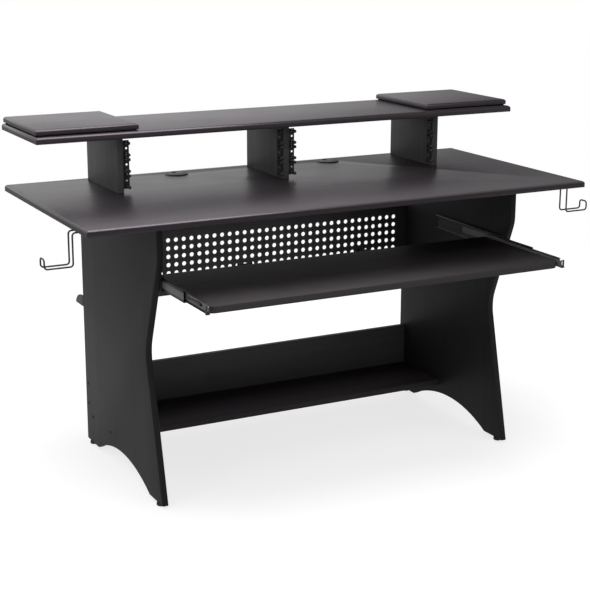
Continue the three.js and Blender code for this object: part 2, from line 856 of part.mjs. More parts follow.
// A wire through points, with a round bend at each inner one, and points only where it bends.
class BentWire extends THREE.Curve {
  constructor(corners, bend, steps) {
    super();
    this.points = corners.flatMap((corner, i) => {
      if (i === 0 || i === corners.length - 1) return [corner];
      const before = corners[i - 1].clone().sub(corner).normalize();
      const after = corners[i + 1].clone().sub(corner).normalize();
      const start = corner.clone().addScaledVector(before, bend);
      const end = corner.clone().addScaledVector(after, bend);
      const centre = start.clone().addScaledVector(after, bend);
      const arm = start.clone().sub(centre);
      const turned = end.clone().sub(centre);
      return Array.from({ length: steps + 1 }, (_, k) => {
        const angle = (Math.PI / 2) * (k / steps);
        const point = centre.clone().addScaledVector(arm, Math.cos(angle));
        return point.addScaledVector(turned, Math.sin(angle));
      });
    });
  }

  getUtoTmapping(u) {
    return u;
  }

  getPoint(t, target = new THREE.Vector3()) {
    const place = Math.min(t, 1) * (this.points.length - 1);
    const index = Math.min(Math.floor(place), this.points.length - 2);
    return target.lerpVectors(this.points[index], this.points[index + 1], place - index);
  }
}

function makeHooks() {
  const plateBottom = topUnderside - hookPlateThickness;
  const wireZ = plateBottom - wireDiameter / 2 + weldDepth;
  for (const [name, side] of sides) {
    const innerX = topWidth / 2 - hookRunUnderTop;
    const near = hookY - wireSpacing / 2;
    const far = hookY + wireSpacing / 2;
    const route = (y) => [
      new THREE.Vector3(side * innerX, y, wireZ),
      new THREE.Vector3(side * hookEdgeX, y, wireZ),
      new THREE.Vector3(side * hookEdgeX, y, wireZ - hookDrop),
      new THREE.Vector3(side * (hookEdgeX + hookReach), y, wireZ - hookDrop),
      new THREE.Vector3(side * (hookEdgeX + hookReach), y, wireZ - hookDrop + hookTip),
    ];
    const path = new BentWire([...route(near), ...route(far).reverse()], wireBend, wireBendSteps);
    const ring = circlePoints([0, 0], wireDiameter / 2, wireSides, Math.PI / wireSides);
    const shape = new THREE.Shape(ring.map(([u, v]) => new THREE.Vector2(u, v)));
    const wire = new THREE.ExtrudeGeometry(shape, {
      extrudePath: path,
      steps: path.points.length - 1,
      bevelEnabled: false,
    });
    const plate = block(
      span(side * (innerX - hookPlateOverhang), side * (innerX - hookPlateOverhang + hookPlateLength)),
      [near - hookPlateOverhang, far + hookPlateOverhang],
      [plateBottom, topUnderside],
    );
    place("hook_" + name, toSolid(wire).add(plate), blackSteel);
  }
}

function makeTopBrackets() {
  const half = bracketThickness / 2;
  for (const [name, side] of sides) {
    const x = (depth) => side * (innerHalfSpan - depth);
    for (const [end, y] of [
      ["front", -panelBack + bracketFrontInset],
      ["rear", panelBack - bracketRearInset],
    ]) {
      const corners = [
        [topUnderside - bracketLeg, x(half)],
        [topUnderside - half, x(half)],
        [topUnderside - half, x(bracketLeg)],
      ];
      const section = bentStrip(corners, bracketBendRadius, bracketThickness);
      const solid = prism("y", section, y - bracketLength / 2, y + bracketLength / 2);
      place("top_bracket_" + end + "_" + name, solid, zincSteel);
    }
  }
}

makeTabletop();
makeSidePanels();
makeGlides();
makeStretchers();
makeModestyPanel();
makeModestyCleats();
makeCableTray();
makeRisersAndShelf();
makeRackRails();
makeSpeakerPlatforms();
makeGrommets();
makeKeyboardTray();
makeSlides();
makeReleaseLevers();
makeHooks();
makeTopBrackets();

export default desk;
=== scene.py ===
"""Looks of a black studio desk: finishes, fine pieces, studio light and camera around the fixed frame."""

import json
import logging
import math
from dataclasses import KW_ONLY, dataclass, field, replace
from enum import Enum
from typing import Any, Callable, Iterable, Mapping, Sequence

import bmesh
import bpy
from mathutils import Matrix, Vector
from mathutils.geometry import tessellate_polygon

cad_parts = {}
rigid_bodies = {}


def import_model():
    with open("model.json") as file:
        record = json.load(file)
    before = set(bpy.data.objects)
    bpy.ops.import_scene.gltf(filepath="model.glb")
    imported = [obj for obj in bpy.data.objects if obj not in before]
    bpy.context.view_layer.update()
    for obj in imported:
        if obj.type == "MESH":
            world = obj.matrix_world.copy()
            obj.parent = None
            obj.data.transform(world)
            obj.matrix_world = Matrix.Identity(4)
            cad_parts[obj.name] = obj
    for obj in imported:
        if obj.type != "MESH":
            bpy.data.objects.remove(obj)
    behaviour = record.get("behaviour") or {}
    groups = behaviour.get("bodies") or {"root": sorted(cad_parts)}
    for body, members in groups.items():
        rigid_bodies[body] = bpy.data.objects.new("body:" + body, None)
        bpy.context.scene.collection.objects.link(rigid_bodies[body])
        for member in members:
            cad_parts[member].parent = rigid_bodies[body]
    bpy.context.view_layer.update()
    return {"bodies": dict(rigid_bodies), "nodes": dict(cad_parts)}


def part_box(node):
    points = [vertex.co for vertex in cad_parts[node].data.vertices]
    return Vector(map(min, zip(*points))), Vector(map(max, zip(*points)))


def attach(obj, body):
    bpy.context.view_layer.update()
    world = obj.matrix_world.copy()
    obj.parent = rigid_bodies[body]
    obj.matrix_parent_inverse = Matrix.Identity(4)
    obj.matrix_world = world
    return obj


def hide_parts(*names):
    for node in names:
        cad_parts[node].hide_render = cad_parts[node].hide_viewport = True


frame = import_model()

Colour = tuple[float, float, float, float]
Point = tuple[float, float]
Sockets = Mapping[str, bpy.types.NodeSocket]

log = logging.getLogger("desk")

SIDES = {"left": -1, "right": 1}
SHARP_ANGLE = math.radians(38)
FLAT_ANGLE = math.radians(0.4)
SQUARE_BEND = math.radians(90)
BEND_STEPS = 6
CORNER_STEPS = 5
BALL_STEPS = 10
BALL_SIDES = 16
SAME_POINT = 1e-6
SAME_PLANE = 1e-7
SHEET_ARRIS = 0.0002


class Axis(Enum):
    """The three axes of the desk, by index."""

    X = 0
    Y = 1
    Z = 2

    @property
    def vector(self) -> Vector:
        """The unit vector along this axis."""
        return Vector([float(i == self.value) for i in range(3)])


# Shader trees


class Tree:
    """Adds and joins the nodes of one shader tree."""

    def __init__(self, tree: bpy.types.NodeTree) -> None:
        """Keeps the tree, emptied of its first nodes.

        Args:
            tree: the node tree to fill.
        """
        self.tree = tree
        tree.nodes.clear()

    def add(self, kind: str, inputs: Mapping[Any, Any] | None = None, **settings: Any) -> bpy.types.Node:
        """Adds one node.

        Args:
            kind: the node's type name.
            inputs: a value or a socket for each input, by name or index.
            settings: the node's own properties.

        Returns:
            The new node.
        """
        node = self.tree.nodes.new(kind)
        for key, value in settings.items():
            setattr(node, key, value)
        for key, value in (inputs or {}).items():
            self.feed(node.inputs[key], value)
        return node

    def feed(self, socket: bpy.types.NodeSocket, value: Any) -> None:
        """Links a socket to another one, or sets its constant.

        Args:
            socket: the input to feed.
            value: an output socket or a constant.
        """
        if isinstance(value, bpy.types.NodeSocket):
            self.tree.links.new(value, socket)
        else:
            socket.default_value = value

    def math(self, operation: str, first: Any, second: Any = 0.0) -> bpy.types.NodeSocket:
        """Adds a Math node and returns its output."""
        return self.add("ShaderNodeMath", {0: first, 1: second}, operation=operation).outputs[0]

    def scale(self, vector: Any, factors: Any) -> bpy.types.NodeSocket:
        """Multiplies two vectors part by part and returns the output."""
        return self.add("ShaderNodeVectorMath", {0: vector, 1: factors}, operation="MULTIPLY").outputs[0]

    def remap(self, value: Any, old: Point, new: Point = (0.0, 1.0)) -> bpy.types.NodeSocket:
        """Maps a value from one range to another, smoothly and clamped.

        Args:
            value: the value to map.
            old: the range that it comes from.
            new: the range that it goes to.

        Returns:
            The mapped value's socket.
        """
        inputs = {0: value, 1: old[0], 2: old[1], 3: new[0], 4: new[1]}
        node = self.add("ShaderNodeMapRange", inputs, interpolation_type="SMOOTHSTEP")
        return node.outputs[0]

    def blend(self, factor: Any, first: Any, second: Any) -> bpy.types.NodeSocket:
        """Mixes two colours and returns the mixed one's socket."""
        node = self.add("ShaderNodeMix", {0: factor, 6: first, 7: second}, data_type="RGBA")
        return node.outputs[2]

    def noise(self, vector: Any, scale: Any, detail: float, roughness: float) -> bpy.types.NodeSocket:
        """Adds a noise texture and returns its factor.

        Args:
            vector: the coordinates.
            scale: the noise's scale.
            detail: how many octaves it has.
            roughness: how strong the finer octaves are.

        Returns:
            The noise factor's socket.
        """
        inputs = {"Vector": vector, "Scale": scale, "Detail": detail, "Roughness": roughness}
        return self.add("ShaderNodeTexNoise", inputs).outputs[0]


@dataclass(frozen=True)
class Effect:
    """A shader node group that several finishes share."""

    name: str
    inputs: Mapping[str, tuple[str, Any]]
    outputs: tuple[str, ...]
    wire: Callable[[Tree, Sockets], Sockets]

    def group(self) -> bpy.types.NodeTree:
        """Builds the node group once and returns it.

        Returns:
            The shader node group.
        """
        known = bpy.data.node_groups.get(self.name)
        if known:
            return known
        group = bpy.data.node_groups.new(self.name, "ShaderNodeTree")
        for name, (kind, value) in self.inputs.items():
            socket = group.interface.new_socket(name, in_out="INPUT", socket_type="NodeSocket" + kind)
            if value is not None:
                socket.default_value = value
        for name in self.outputs:
            group.interface.new_socket(name, in_out="OUTPUT", socket_type="NodeSocketFloat")
        tree = Tree(group)
        given = tree.add("NodeGroupInput").outputs
        made = self.wire(tree, {name: given[name] for name in self.inputs})
        tree.add("NodeGroupOutput", {name: made[name] for name in self.outputs})
        return group

    def place(self, tree: Tree, inputs: Mapping[str, Any]) -> bpy.types.NodeOutputs:
        """Puts the effect into a material's tree.

        Args:
            tree: the material's tree.
            inputs: values or sockets for the group's inputs.

        Returns:
            The group node's outputs.
        """
        node = tree.add("ShaderNodeGroup", node_tree=self.group())
        for name, value in inputs.items():
            tree.feed(node.inputs[name], value)
        return node.outputs


# Effects that finishes share


@dataclass(frozen=True)
class Pattern:
    """A noise, and the part of its range that a mask keeps."""

    detail: float
    roughness: float
    kept: Point
    levels: Point = (0.0, 1.0)

    def mask(self, tree: Tree, vector: Any, scale: Any) -> bpy.types.NodeSocket:
        """Adds the noise and maps what it keeps onto the mask's levels.

        Args:
            tree: the tree to add to.
            vector: the coordinates.
            scale: the noise's scale.

        Returns:
            The mask's socket.
        """
        noise = tree.noise(vector, scale, self.detail, self.roughness)
        return tree.remap(noise, self.kept, self.levels)


BROAD_SCALE = (0.16, 0.16, 0.16)
BROAD_SHARE = 0.45
GRAIN_RANGE = (0.36, 0.64)
PORE_SCALE = (2.6, 2.6, 2.6)
PORE_DEPTH_SHARE = 0.8
PORES = Pattern(2.0, 0.5, (0.56, 0.7))
CLOUDS = Pattern(4.0, 0.55, (0.42, 0.68))
STROKE_STRETCH = (1.0, 5.0, 3.0)
STROKE_SCALE = 3.0
STROKES = Pattern(3.0, 0.6, (0.3, 0.7), (0.4, 1.0))
PEEL_SHARE = 0.7
SPARKLE_SCALE = 3.7
SPARKLE_RANGE = (0.4, 0.75)
EDGE_TURNS = (0.995, 0.86)
WEAR_SCALE = 60.0
WEAR_PATCHES = Pattern(4.0, 0.6, (0.38, 0.62))
UPWARD = (0.7, 1.0)
SPECK_SCALE = 240.0
SPECKS = Pattern(2.0, 0.7, (0.56, 0.74))
DRIFT_SCALE = 3.5
DRIFTS = Pattern(3.0, 0.5, (0.35, 0.7), (0.25, 1.0))
BAND_FACING = (0.75, 0.45)
ARRIS_FROM_BAND = (0.05, 0.35)
ARRIS_FROM_FACE = (0.98, 0.75)
# How far from a slide's middle line the black bands begin, outside its web of painted reflection, in metres
SHEEN_EDGES = (0.0078, 0.0096)
STRIP_SCALE = 9.0
STRIP_WAVER = Pattern(3.0, 0.5, (0.2, 0.8), (-0.06, 0.06))
# The stretch along the desk, in metres, over which the painted light of a front strip weakens
LIT_FADE_FROM_TO = (-0.2, 0.5)


def wire_grain(tree: Tree, given: Sockets) -> Sockets:
    """Wires the printed wood grain: long streaks with short dark pores.

    Args:
        tree: the group's tree.
        given: its input sockets.

    Returns:
        The streaks, the pores and the height of the pressed texture.
    """
    drawn = tree.scale(given["Vector"], given["Stretch"])
    broad = tree.noise(tree.scale(drawn, BROAD_SCALE), 1.0, detail=3.0, roughness=0.5)
    streaks = tree.noise(drawn, 1.0, detail=6.0, roughness=0.62)
    pores = PORES.mask(tree, tree.scale(drawn, PORE_SCALE), 1.0)
    clouded = tree.math("MULTIPLY", broad, BROAD_SHARE)
    grain = tree.math("ADD", clouded, tree.math("MULTIPLY", streaks, 1 - BROAD_SHARE))
    height = tree.math("SUBTRACT", streaks, tree.math("MULTIPLY", pores, PORE_DEPTH_SHARE))
    return {"Grain": tree.remap(grain, GRAIN_RANGE), "Pores": pores, "Height": height}


def wire_marks(tree: Tree, given: Sockets) -> Sockets:
    """Wires the faint marks of hands and wiping: clouds broken by short strokes.

    Args:
        tree: the group's tree.
        given: its input sockets.

    Returns:
        The mask of the marks.
    """
    clouds = CLOUDS.mask(tree, given["Vector"], given["Scale"])
    finer = tree.math("MULTIPLY", given["Scale"], STROKE_SCALE)
    strokes = STROKES.mask(tree, tree.scale(given["Vector"], STROKE_STRETCH), finer)
    return {"Mask": tree.math("MULTIPLY", clouds, strokes)}


def wire_coat(tree: Tree, given: Sockets) -> Sockets:
    """Wires the orange peel of a sprayed coat: soft bumps under a fine sparkle.

    Args:
        tree: the group's tree.
        given: its input sockets.

    Returns:
        The height of the coat and its tone.
    """
    peel = tree.noise(given["Vector"], given["Scale"], detail=2.0, roughness=0.5)
    finer = tree.math("MULTIPLY", given["Scale"], SPARKLE_SCALE)
    sparkle = tree.noise(given["Vector"], finer, detail=1.0, roughness=0.5)
    bumps = tree.math("MULTIPLY", peel, PEEL_SHARE)
    height = tree.math("ADD", bumps, tree.math("MULTIPLY", sparkle, 1 - PEEL_SHARE))
    return {"Height": height, "Tone": tree.remap(sparkle, SPARKLE_RANGE)}


def wire_wear(tree: Tree, given: Sockets) -> Sockets:
    """Wires the worn edges: where the surface turns sharply, broken up by noise.

    Args:
        tree: the group's tree.
        given: its input sockets.

    Returns:
        The mask of the worn edges.
    """
    soft = tree.add("ShaderNodeBevel", {"Radius": given["Radius"]}, samples=4).outputs[0]
    true = tree.add("ShaderNodeNewGeometry").outputs["True Normal"]
    turn = tree.add("ShaderNodeVectorMath", {0: soft, 1: true}, operation="DOT_PRODUCT").outputs["Value"]
    patches = WEAR_PATCHES.mask(tree, given["Vector"], WEAR_SCALE)
    return {"Mask": tree.math("MULTIPLY", tree.remap(turn, EDGE_TURNS), patches)}


def wire_dust(tree: Tree, given: Sockets) -> Sockets:
    """Wires a trace of dust on what faces up.

    Args:
        tree: the group's tree.
        given: its input sockets.

    Returns:
        The mask of the dust.
    """
    normal = tree.add("ShaderNodeTexCoord").outputs["Normal"]
    up = tree.add("ShaderNodeSeparateXYZ", {0: normal}).outputs[2]
    specks = SPECKS.mask(tree, given["Vector"], SPECK_SCALE)
    drifts = DRIFTS.mask(tree, given["Vector"], DRIFT_SCALE)
    settled = tree.math("MULTIPLY", specks, drifts)
    return {"Mask": tree.math("MULTIPLY", tree.remap(up, UPWARD), settled)}


def wire_band(tree: Tree, given: Sockets) -> Sockets:
    """Wires the edge band of a board: one where the surface no longer faces the board's flat way.

    Args:
        tree: the group's tree.
        given: its input sockets.

    Returns:
        The band's mask, and a mask of the rounded arris beside it.
    """
    normal = tree.add("ShaderNodeTexCoord").outputs["Normal"]
    along = tree.add("ShaderNodeVectorMath", {0: normal, 1: given["Flat way"]}, operation="DOT_PRODUCT")
    facing = tree.math("ABSOLUTE", along.outputs["Value"])
    off_band = tree.remap(facing, ARRIS_FROM_BAND)
    off_face = tree.remap(facing, ARRIS_FROM_FACE)
    return {"Band": tree.remap(facing, BAND_FACING), "Arris": tree.math("MULTIPLY", off_band, off_face)}


def wire_web_sheen(tree: Tree, given: Sockets) -> Sockets:
    """Wires the black bands of a slide, one near the upper and one near the lower edge of its web, where the
    web's painted reflection ends.

    Args:
        tree: the group's tree.
        given: its input sockets.

    Returns:
        The mask of the black bands.
    """
    height = tree.add("ShaderNodeSeparateXYZ", {0: given["Vector"]}).outputs[2]
    away = tree.math("ABSOLUTE", tree.math("SUBTRACT", height, given["Centre"]))
    return {"Mask": tree.remap(away, SHEEN_EDGES)}


def wire_strip(tree: Tree, given: Sockets) -> Sockets:
    """Wires a strip of painted light along a board's front, painted paler where light and sheen fall, weaker
    towards the right.

    Args:
        tree: the group's tree.
        given: its input sockets.

    Returns:
        The strip's mask.
    """
    parts = tree.add("ShaderNodeSeparateXYZ", {0: given["Vector"]}).outputs
    share = tree.math("DIVIDE", tree.math("SUBTRACT", parts[1], given["Front"]), given["Depth"])
    waver = STRIP_WAVER.mask(tree, given["Vector"], STRIP_SCALE)
    strip = tree.remap(tree.math("ADD", share, waver), (1.0, 0.0))
    right_fade = tree.remap(parts[0], LIT_FADE_FROM_TO, (1.0, given["Right share"]))
    return {"Mask": tree.math("MULTIPLY", tree.math("MULTIPLY", strip, strip), right_fade)}


GRAIN = Effect(
    "wood_grain",
    {"Vector": ("Vector", None), "Stretch": ("Vector", (6.0, 260.0, 260.0))},
    ("Grain", "Pores", "Height"),
    wire_grain,
)
MARKS = Effect("handling_marks", {"Vector": ("Vector", None), "Scale": ("Float", 6.0)}, ("Mask",), wire_marks)
COAT = Effect(
    "sprayed_coat",
    {"Vector": ("Vector", None), "Scale": ("Float", 900.0)},
    ("Height", "Tone"),
    wire_coat,
)
WEAR = Effect("edge_wear", {"Vector": ("Vector", None), "Radius": ("Float", 0.0012)}, ("Mask",), wire_wear)
DUST = Effect("settled_dust", {"Vector": ("Vector", None)}, ("Mask",), wire_dust)
# A painted light: the pale strip along the front of the tabletop and the keyboard tray
STRIP = Effect(
    "painted_front_light",
    {
        "Vector": ("Vector", None),
        "Front": ("Float", 0.0),
        "Depth": ("Float", 0.2),
        "Right share": ("Float", 1.0),
    },
    ("Mask",),
    wire_strip,
)
WEB_SHEEN = Effect("slide_web_sheen", {"Vector": ("Vector", None), "Centre": ("Float", 0.0)}, ("Mask",), wire_web_sheen)
BAND = Effect("edge_band", {"Flat way": ("Vector", (0.0, 0.0, 1.0))}, ("Band", "Arris"), wire_band)


# Finishes


def shade(level: float, warmth: float = 0.0, purple: float = 0.0) -> Colour:
    """A near-neutral colour.

    Args:
        level: its linear level.
        warmth: how much more red than blue it has, as a share.
        purple: how much less green it has, as a share.

    Returns:
        The colour with full alpha.
    """
    return (level * (1 + warmth), level * (1 - purple), level * (1 - warmth), 1.0)


WHITE = shade(1.0)
DUST_GREY = shade(0.3)
PORE_BLACK = shade(0.005)


@dataclass(frozen=True)
class Finish:
    """What all finishes share: a named material around one Principled shader."""

    name: str
    slot: str
    roughness: float
    specular: float
    gloss_tint: Colour = field(default=WHITE, kw_only=True)

    def material(self) -> bpy.types.Material:
        """Builds the material once and returns it.

        Returns:
            The material.
        """
        known = bpy.data.materials.get(self.name)
        if known:
            return known
        made = bpy.data.materials.new(self.name)
        made.use_nodes = True
        tree = Tree(made.node_tree)
        shader = tree.add("ShaderNodeBsdfPrincipled")
        shader.inputs["Specular IOR Level"].default_value = self.specular
        shader.inputs["Specular Tint"].default_value = self.gloss_tint
        tree.add("ShaderNodeOutputMaterial", {"Surface": shader.outputs[0]})
        place = tree.add("ShaderNodeTexCoord").outputs["Object"]
        self.dress(tree, shader, place)
        return made

    def dress(self, tree: Tree, shader: bpy.types.Node, place: bpy.types.NodeSocket) -> None:
        """Feeds the shader; each finish has its own way.

        Args:
            tree: the material's tree.
            shader: its Principled shader.
            place: the object's own coordinates, in metres.
        """
        raise NotImplementedError

    def bump(self, tree: Tree, shader: bpy.types.Node, height: Any, strength: float, distance: float) -> None:
        """Feeds the shader's normal from a height.

        Args:
            tree: the material's tree.
            shader: the Principled shader.
            height: the height's socket.
            strength: the bump's strength.
            distance: the bump's depth in metres.
        """
        inputs = {"Height": height, "Strength": strength, "Distance": distance}
        tree.feed(shader.inputs["Normal"], tree.add("ShaderNodeBump", inputs).outputs[0])


@dataclass(frozen=True)
class BoardFinish(Finish):
    """Melamine with a printed, lightly pressed grain, and a plainer band round its edges."""

    face: Colour
    streak: Colour
    band: Colour
    grain_way: Axis
    flat_way: Axis
    offset: float = 0.0
    grain_along: float = 5.0
    grain_across: float = 230.0
    _: KW_ONLY
    # The colour, start, depth and right-hand share of a pale strip of painted light along the front
    lit_front: Colour = WHITE
    lit_front_from: float = 0.0
    lit_front_depth: float = 0.0
    lit_front_right: float = 1.0
    marks_scale: float = 5.0
    pore_share: float = 0.25
    dust_share: float = 0.06
    streak_roughness: tuple[float, float] = (0.012, -0.006)
    marks_roughness: float = 0.03
    band_roughness: float = 0.08
    arris_polish: float = 0.14
    press_strength: float = 0.1
    press_depth: float = 0.00006

    def dress(self, tree: Tree, shader: bpy.types.Node, place: bpy.types.NodeSocket) -> None:
        """Feeds colour, roughness and normal from grain, marks, dust and the edge band.

        Args:
            tree: the material's tree.
            shader: its Principled shader.
            place: the object's own coordinates, in metres.
        """
        shift = (self.offset, self.offset, self.offset)
        moved = tree.add("ShaderNodeVectorMath", {0: place, 1: shift}, operation="ADD").outputs[0]
        stretch = [self.grain_across] * 3
        stretch[self.grain_way.value] = self.grain_along
        grain = GRAIN.place(tree, {"Vector": moved, "Stretch": tuple(stretch)})
        marks = MARKS.place(tree, {"Vector": moved, "Scale": self.marks_scale})
        dust = DUST.place(tree, {"Vector": moved})
        band = BAND.place(tree, {"Flat way": tuple(self.flat_way.vector)})
        wood = tree.blend(grain["Grain"], self.streak, self.face)
        wood = tree.blend(tree.math("MULTIPLY", grain["Pores"], self.pore_share), wood, PORE_BLACK)
        # A pale strip along the front, where one is given, is painted light for the light and sheen that fall
        # there
        if self.lit_front_depth:
            strip = STRIP.place(
                tree,
                {
                    "Vector": place,
                    "Front": self.lit_front_from,
                    "Depth": self.lit_front_depth,
                    "Right share": self.lit_front_right,
                },
            )
            wood = tree.blend(strip["Mask"], wood, self.lit_front)
        wood = tree.blend(band["Band"], wood, self.band)
        wood = tree.blend(tree.math("MULTIPLY", dust["Mask"], self.dust_share), wood, DUST_GREY)
        tree.feed(shader.inputs["Base Color"], wood)
        ends = [self.roughness + change for change in self.streak_roughness]
        rough = tree.remap(grain["Grain"], (0.0, 1.0), (ends[0], ends[1]))
        rough = tree.math("ADD", rough, tree.math("MULTIPLY", marks["Mask"], self.marks_roughness))
        rough = tree.math("ADD", rough, tree.math("MULTIPLY", band["Band"], self.band_roughness))
        rough = tree.math("SUBTRACT", rough, tree.math("MULTIPLY", band["Arris"], self.arris_polish))
        tree.feed(shader.inputs["Roughness"], rough)
        self.bump(tree, shader, grain["Height"], self.press_strength, self.press_depth)


@dataclass(frozen=True)
class SteelFinish(Finish):
    """Sheet steel under a sprayed or dipped coat that is a little worn at its edges."""

    coat: Colour
    bare: Colour
    grain: float = 900.0
    worn: float = 0.25
    metallic: float = 0.0
    _: KW_ONLY
    marks_scale: float = 14.0
    wear_radius: float = 0.0008
    sparkle_share: float = 0.2
    marks_roughness: float = 0.1
    peel_strength: float = 0.2
    peel_depth: float = 0.00008

    def dress(self, tree: Tree, shader: bpy.types.Node, place: bpy.types.NodeSocket) -> None:
        """Feeds colour, roughness and normal from the coat, its marks and its worn edges.

        Args:
            tree: the material's tree.
            shader: its Principled shader.
            place: the object's own coordinates, in metres.
        """
        shader.inputs["Metallic"].default_value = self.metallic
        coat = COAT.place(tree, {"Vector": place, "Scale": self.grain})
        marks = MARKS.place(tree, {"Vector": place, "Scale": self.marks_scale})
        wear = WEAR.place(tree, {"Vector": place, "Radius": self.wear_radius})
        tint = tree.blend(tree.math("MULTIPLY", coat["Tone"], self.sparkle_share), self.coat, self.bare)
        tint = tree.blend(tree.math("MULTIPLY", wear["Mask"], self.worn), tint, self.bare)
        tree.feed(shader.inputs["Base Color"], tint)
        dulled = tree.math("MULTIPLY", marks["Mask"], self.marks_roughness)
        tree.feed(shader.inputs["Roughness"], tree.math("ADD", self.roughness, dulled))
        self.bump(tree, shader, coat["Height"], self.peel_strength, self.peel_depth)


@dataclass(frozen=True)
class SlideFinish(SteelFinish):
    """The steel of a slide member: a web painted pale as a painted reflection on black steel, between black
    bands along its edges.
    """

    # The black of the bands along the edges, beside the painted reflection on the web
    edge_black: Colour = shade(0.008)
    centre: float = 0.0

    def dress(self, tree: Tree, shader: bpy.types.Node, place: bpy.types.NodeSocket) -> None:
        """Feeds the same as the coated steel, with black bands along the edges of the web that is painted
        pale as a painted reflection.

        Args:
            tree: the material's tree.
            shader: its Principled shader.
            place: the object's own coordinates, in metres.
        """
        super().dress(tree, shader, place)
        black_bands = WEB_SHEEN.place(tree, {"Vector": place, "Centre": self.centre})
        web = shader.inputs["Base Color"].links[0].from_socket
        tree.feed(shader.inputs["Base Color"], tree.blend(black_bands["Mask"], web, self.edge_black))


@dataclass(frozen=True)
class PlatedFinish(Finish):
    """Bright plated steel with fine rolling lines."""

    plate: Colour
    lines_way: Axis = Axis.Y
    _: KW_ONLY
    lines_along: float = 30.0
    lines_across: float = 1600.0
    marks_scale: float = 30.0
    dull: Colour = shade(0.25)
    dull_depth: float = 0.35
    dull_share: float = 0.5
    lines_roughness: tuple[float, float] = (-0.06, 0.1)
    lines_strength: float = 0.12
    lines_depth: float = 0.00004

    def dress(self, tree: Tree, shader: bpy.types.Node, place: bpy.types.NodeSocket) -> None:
        """Feeds colour, roughness and normal from the rolling lines and the marks.

        Args:
            tree: the material's tree.
            shader: its Principled shader.
            place: the object's own coordinates, in metres.
        """
        shader.inputs["Metallic"].default_value = 1.0
        stretch = [self.lines_across] * 3
        stretch[self.lines_way.value] = self.lines_along
        lines = tree.noise(tree.scale(place, tuple(stretch)), 1.0, detail=3.0, roughness=0.6)
        marks = MARKS.place(tree, {"Vector": place, "Scale": self.marks_scale})
        dull = tree.blend(self.dull_depth, self.plate, self.dull)
        dulled = tree.math("MULTIPLY", marks["Mask"], self.dull_share)
        tree.feed(shader.inputs["Base Color"], tree.blend(dulled, self.plate, dull))
        ends = [self.roughness + change for change in self.lines_roughness]
        rough = tree.remap(lines, (0.3, 0.7), (ends[0], ends[1]))
        tree.feed(shader.inputs["Roughness"], rough)
        self.bump(tree, shader, lines, self.lines_strength, self.lines_depth)


@dataclass(frozen=True)
class PlasticFinish(Finish):
    """Moulded plastic or rubber with a fine grained surface."""

    tone: Colour
    grain: float = 1400.0
    depth: float = 0.00006
    _: KW_ONLY
    sheen: Colour = shade(0.03)
    sheen_share: float = 0.25
    dust_share: float = 0.1
    grain_roughness: float = 0.12
    grain_strength: float = 0.3

    def dress(self, tree: Tree, shader: bpy.types.Node, place: bpy.types.NodeSocket) -> None:
        """Feeds colour, roughness and normal from the moulded grain and the dust.

        Args:
            tree: the material's tree.
            shader: its Principled shader.
            place: the object's own coordinates, in metres.
        """
        coat = COAT.place(tree, {"Vector": place, "Scale": self.grain})
        dust = DUST.place(tree, {"Vector": place})
        tint = tree.blend(tree.math("MULTIPLY", coat["Tone"], self.sheen_share), self.tone, self.sheen)
        tint = tree.blend(tree.math("MULTIPLY", dust["Mask"], self.dust_share), tint, DUST_GREY)
        tree.feed(shader.inputs["Base Color"], tint)
        ends = (self.roughness, self.roughness + self.grain_roughness)
        tree.feed(shader.inputs["Roughness"], tree.remap(coat["Tone"], (0.0, 1.0), ends))
        self.bump(tree, shader, coat["Height"], self.grain_strength, self.depth)


PURPLE_GLOSS = (1.0, 0.84, 0.99, 1.0)
STREAK_SHARE = 0.86
PANEL_STREAK_SHARE = 0.84
BAND_SHARE = 0.8
PANEL_ROUGHNESS = 0.44


def top_board(offset: float, tone: float, roughness: float, specular: float) -> BoardFinish:
    """The finish of a board that lies flat, with its grain along the desk.

    Args:
        offset: a shift of the grain, so that no two boards are alike.
        tone: the level of its colour.
        roughness: how dull it is.
        specular: how strong its gloss is.

    Returns:
        The finish.
    """
    face = shade(tone, warmth=0.02, purple=0.16)
    streak = shade(tone * STREAK_SHARE, warmth=0.03, purple=0.14)
    band = shade(tone * BAND_SHARE, warmth=0.02, purple=0.08)
    return BoardFinish(
        f"melamine_flat_{round(offset * 10)}",
        "top_board",
        roughness,
        specular,
        face,
        streak,
        band,
        Axis.X,
        Axis.Z,
        offset,
        gloss_tint=PURPLE_GLOSS,
    )


def panel_board(grain: Axis, flat: Axis, offset: float, tone: float, specular: float) -> BoardFinish:
    """The finish of a board that stands on edge.

    Args:
        grain: the way that its grain runs.
        flat: the way that its faces look.
        offset: a shift of the grain, so that no two boards are alike.
        tone: the level of its colour.
        specular: how strong its gloss is.

    Returns:
        The finish.
    """
    face = shade(tone, warmth=-0.02, purple=0.01)
    streak = shade(tone * PANEL_STREAK_SHARE, warmth=-0.02, purple=0.01)
    band = shade(tone * BAND_SHARE, purple=0.01)
    return BoardFinish(
        f"melamine_{flat.name.lower()}_{round(offset * 10)}",
        "panel_board",
        PANEL_ROUGHNESS,
        specular,
        face,
        streak,
        band,
        grain,
        flat,
        offset,
    )


POWDER = SteelFinish(
    name="powder_coat_black",
    slot="black_steel",
    roughness=0.42,
    specular=0.45,
    coat=shade(0.008),
    bare=shade(0.05),
)
WIRE = SteelFinish(
    name="powder_coat_wire",
    slot="black_steel",
    roughness=0.36,
    specular=0.5,
    coat=shade(0.009),
    bare=shade(0.09),
    grain=1200.0,
    worn=0.35,
)
SLIDE = SteelFinish(
    name="coated_slide_steel",
    slot="slide_steel",
    roughness=0.34,
    specular=0.5,
    coat=shade(0.012),
    bare=shade(0.2),
    grain=500.0,
    worn=0.3,
    metallic=0.3,
)
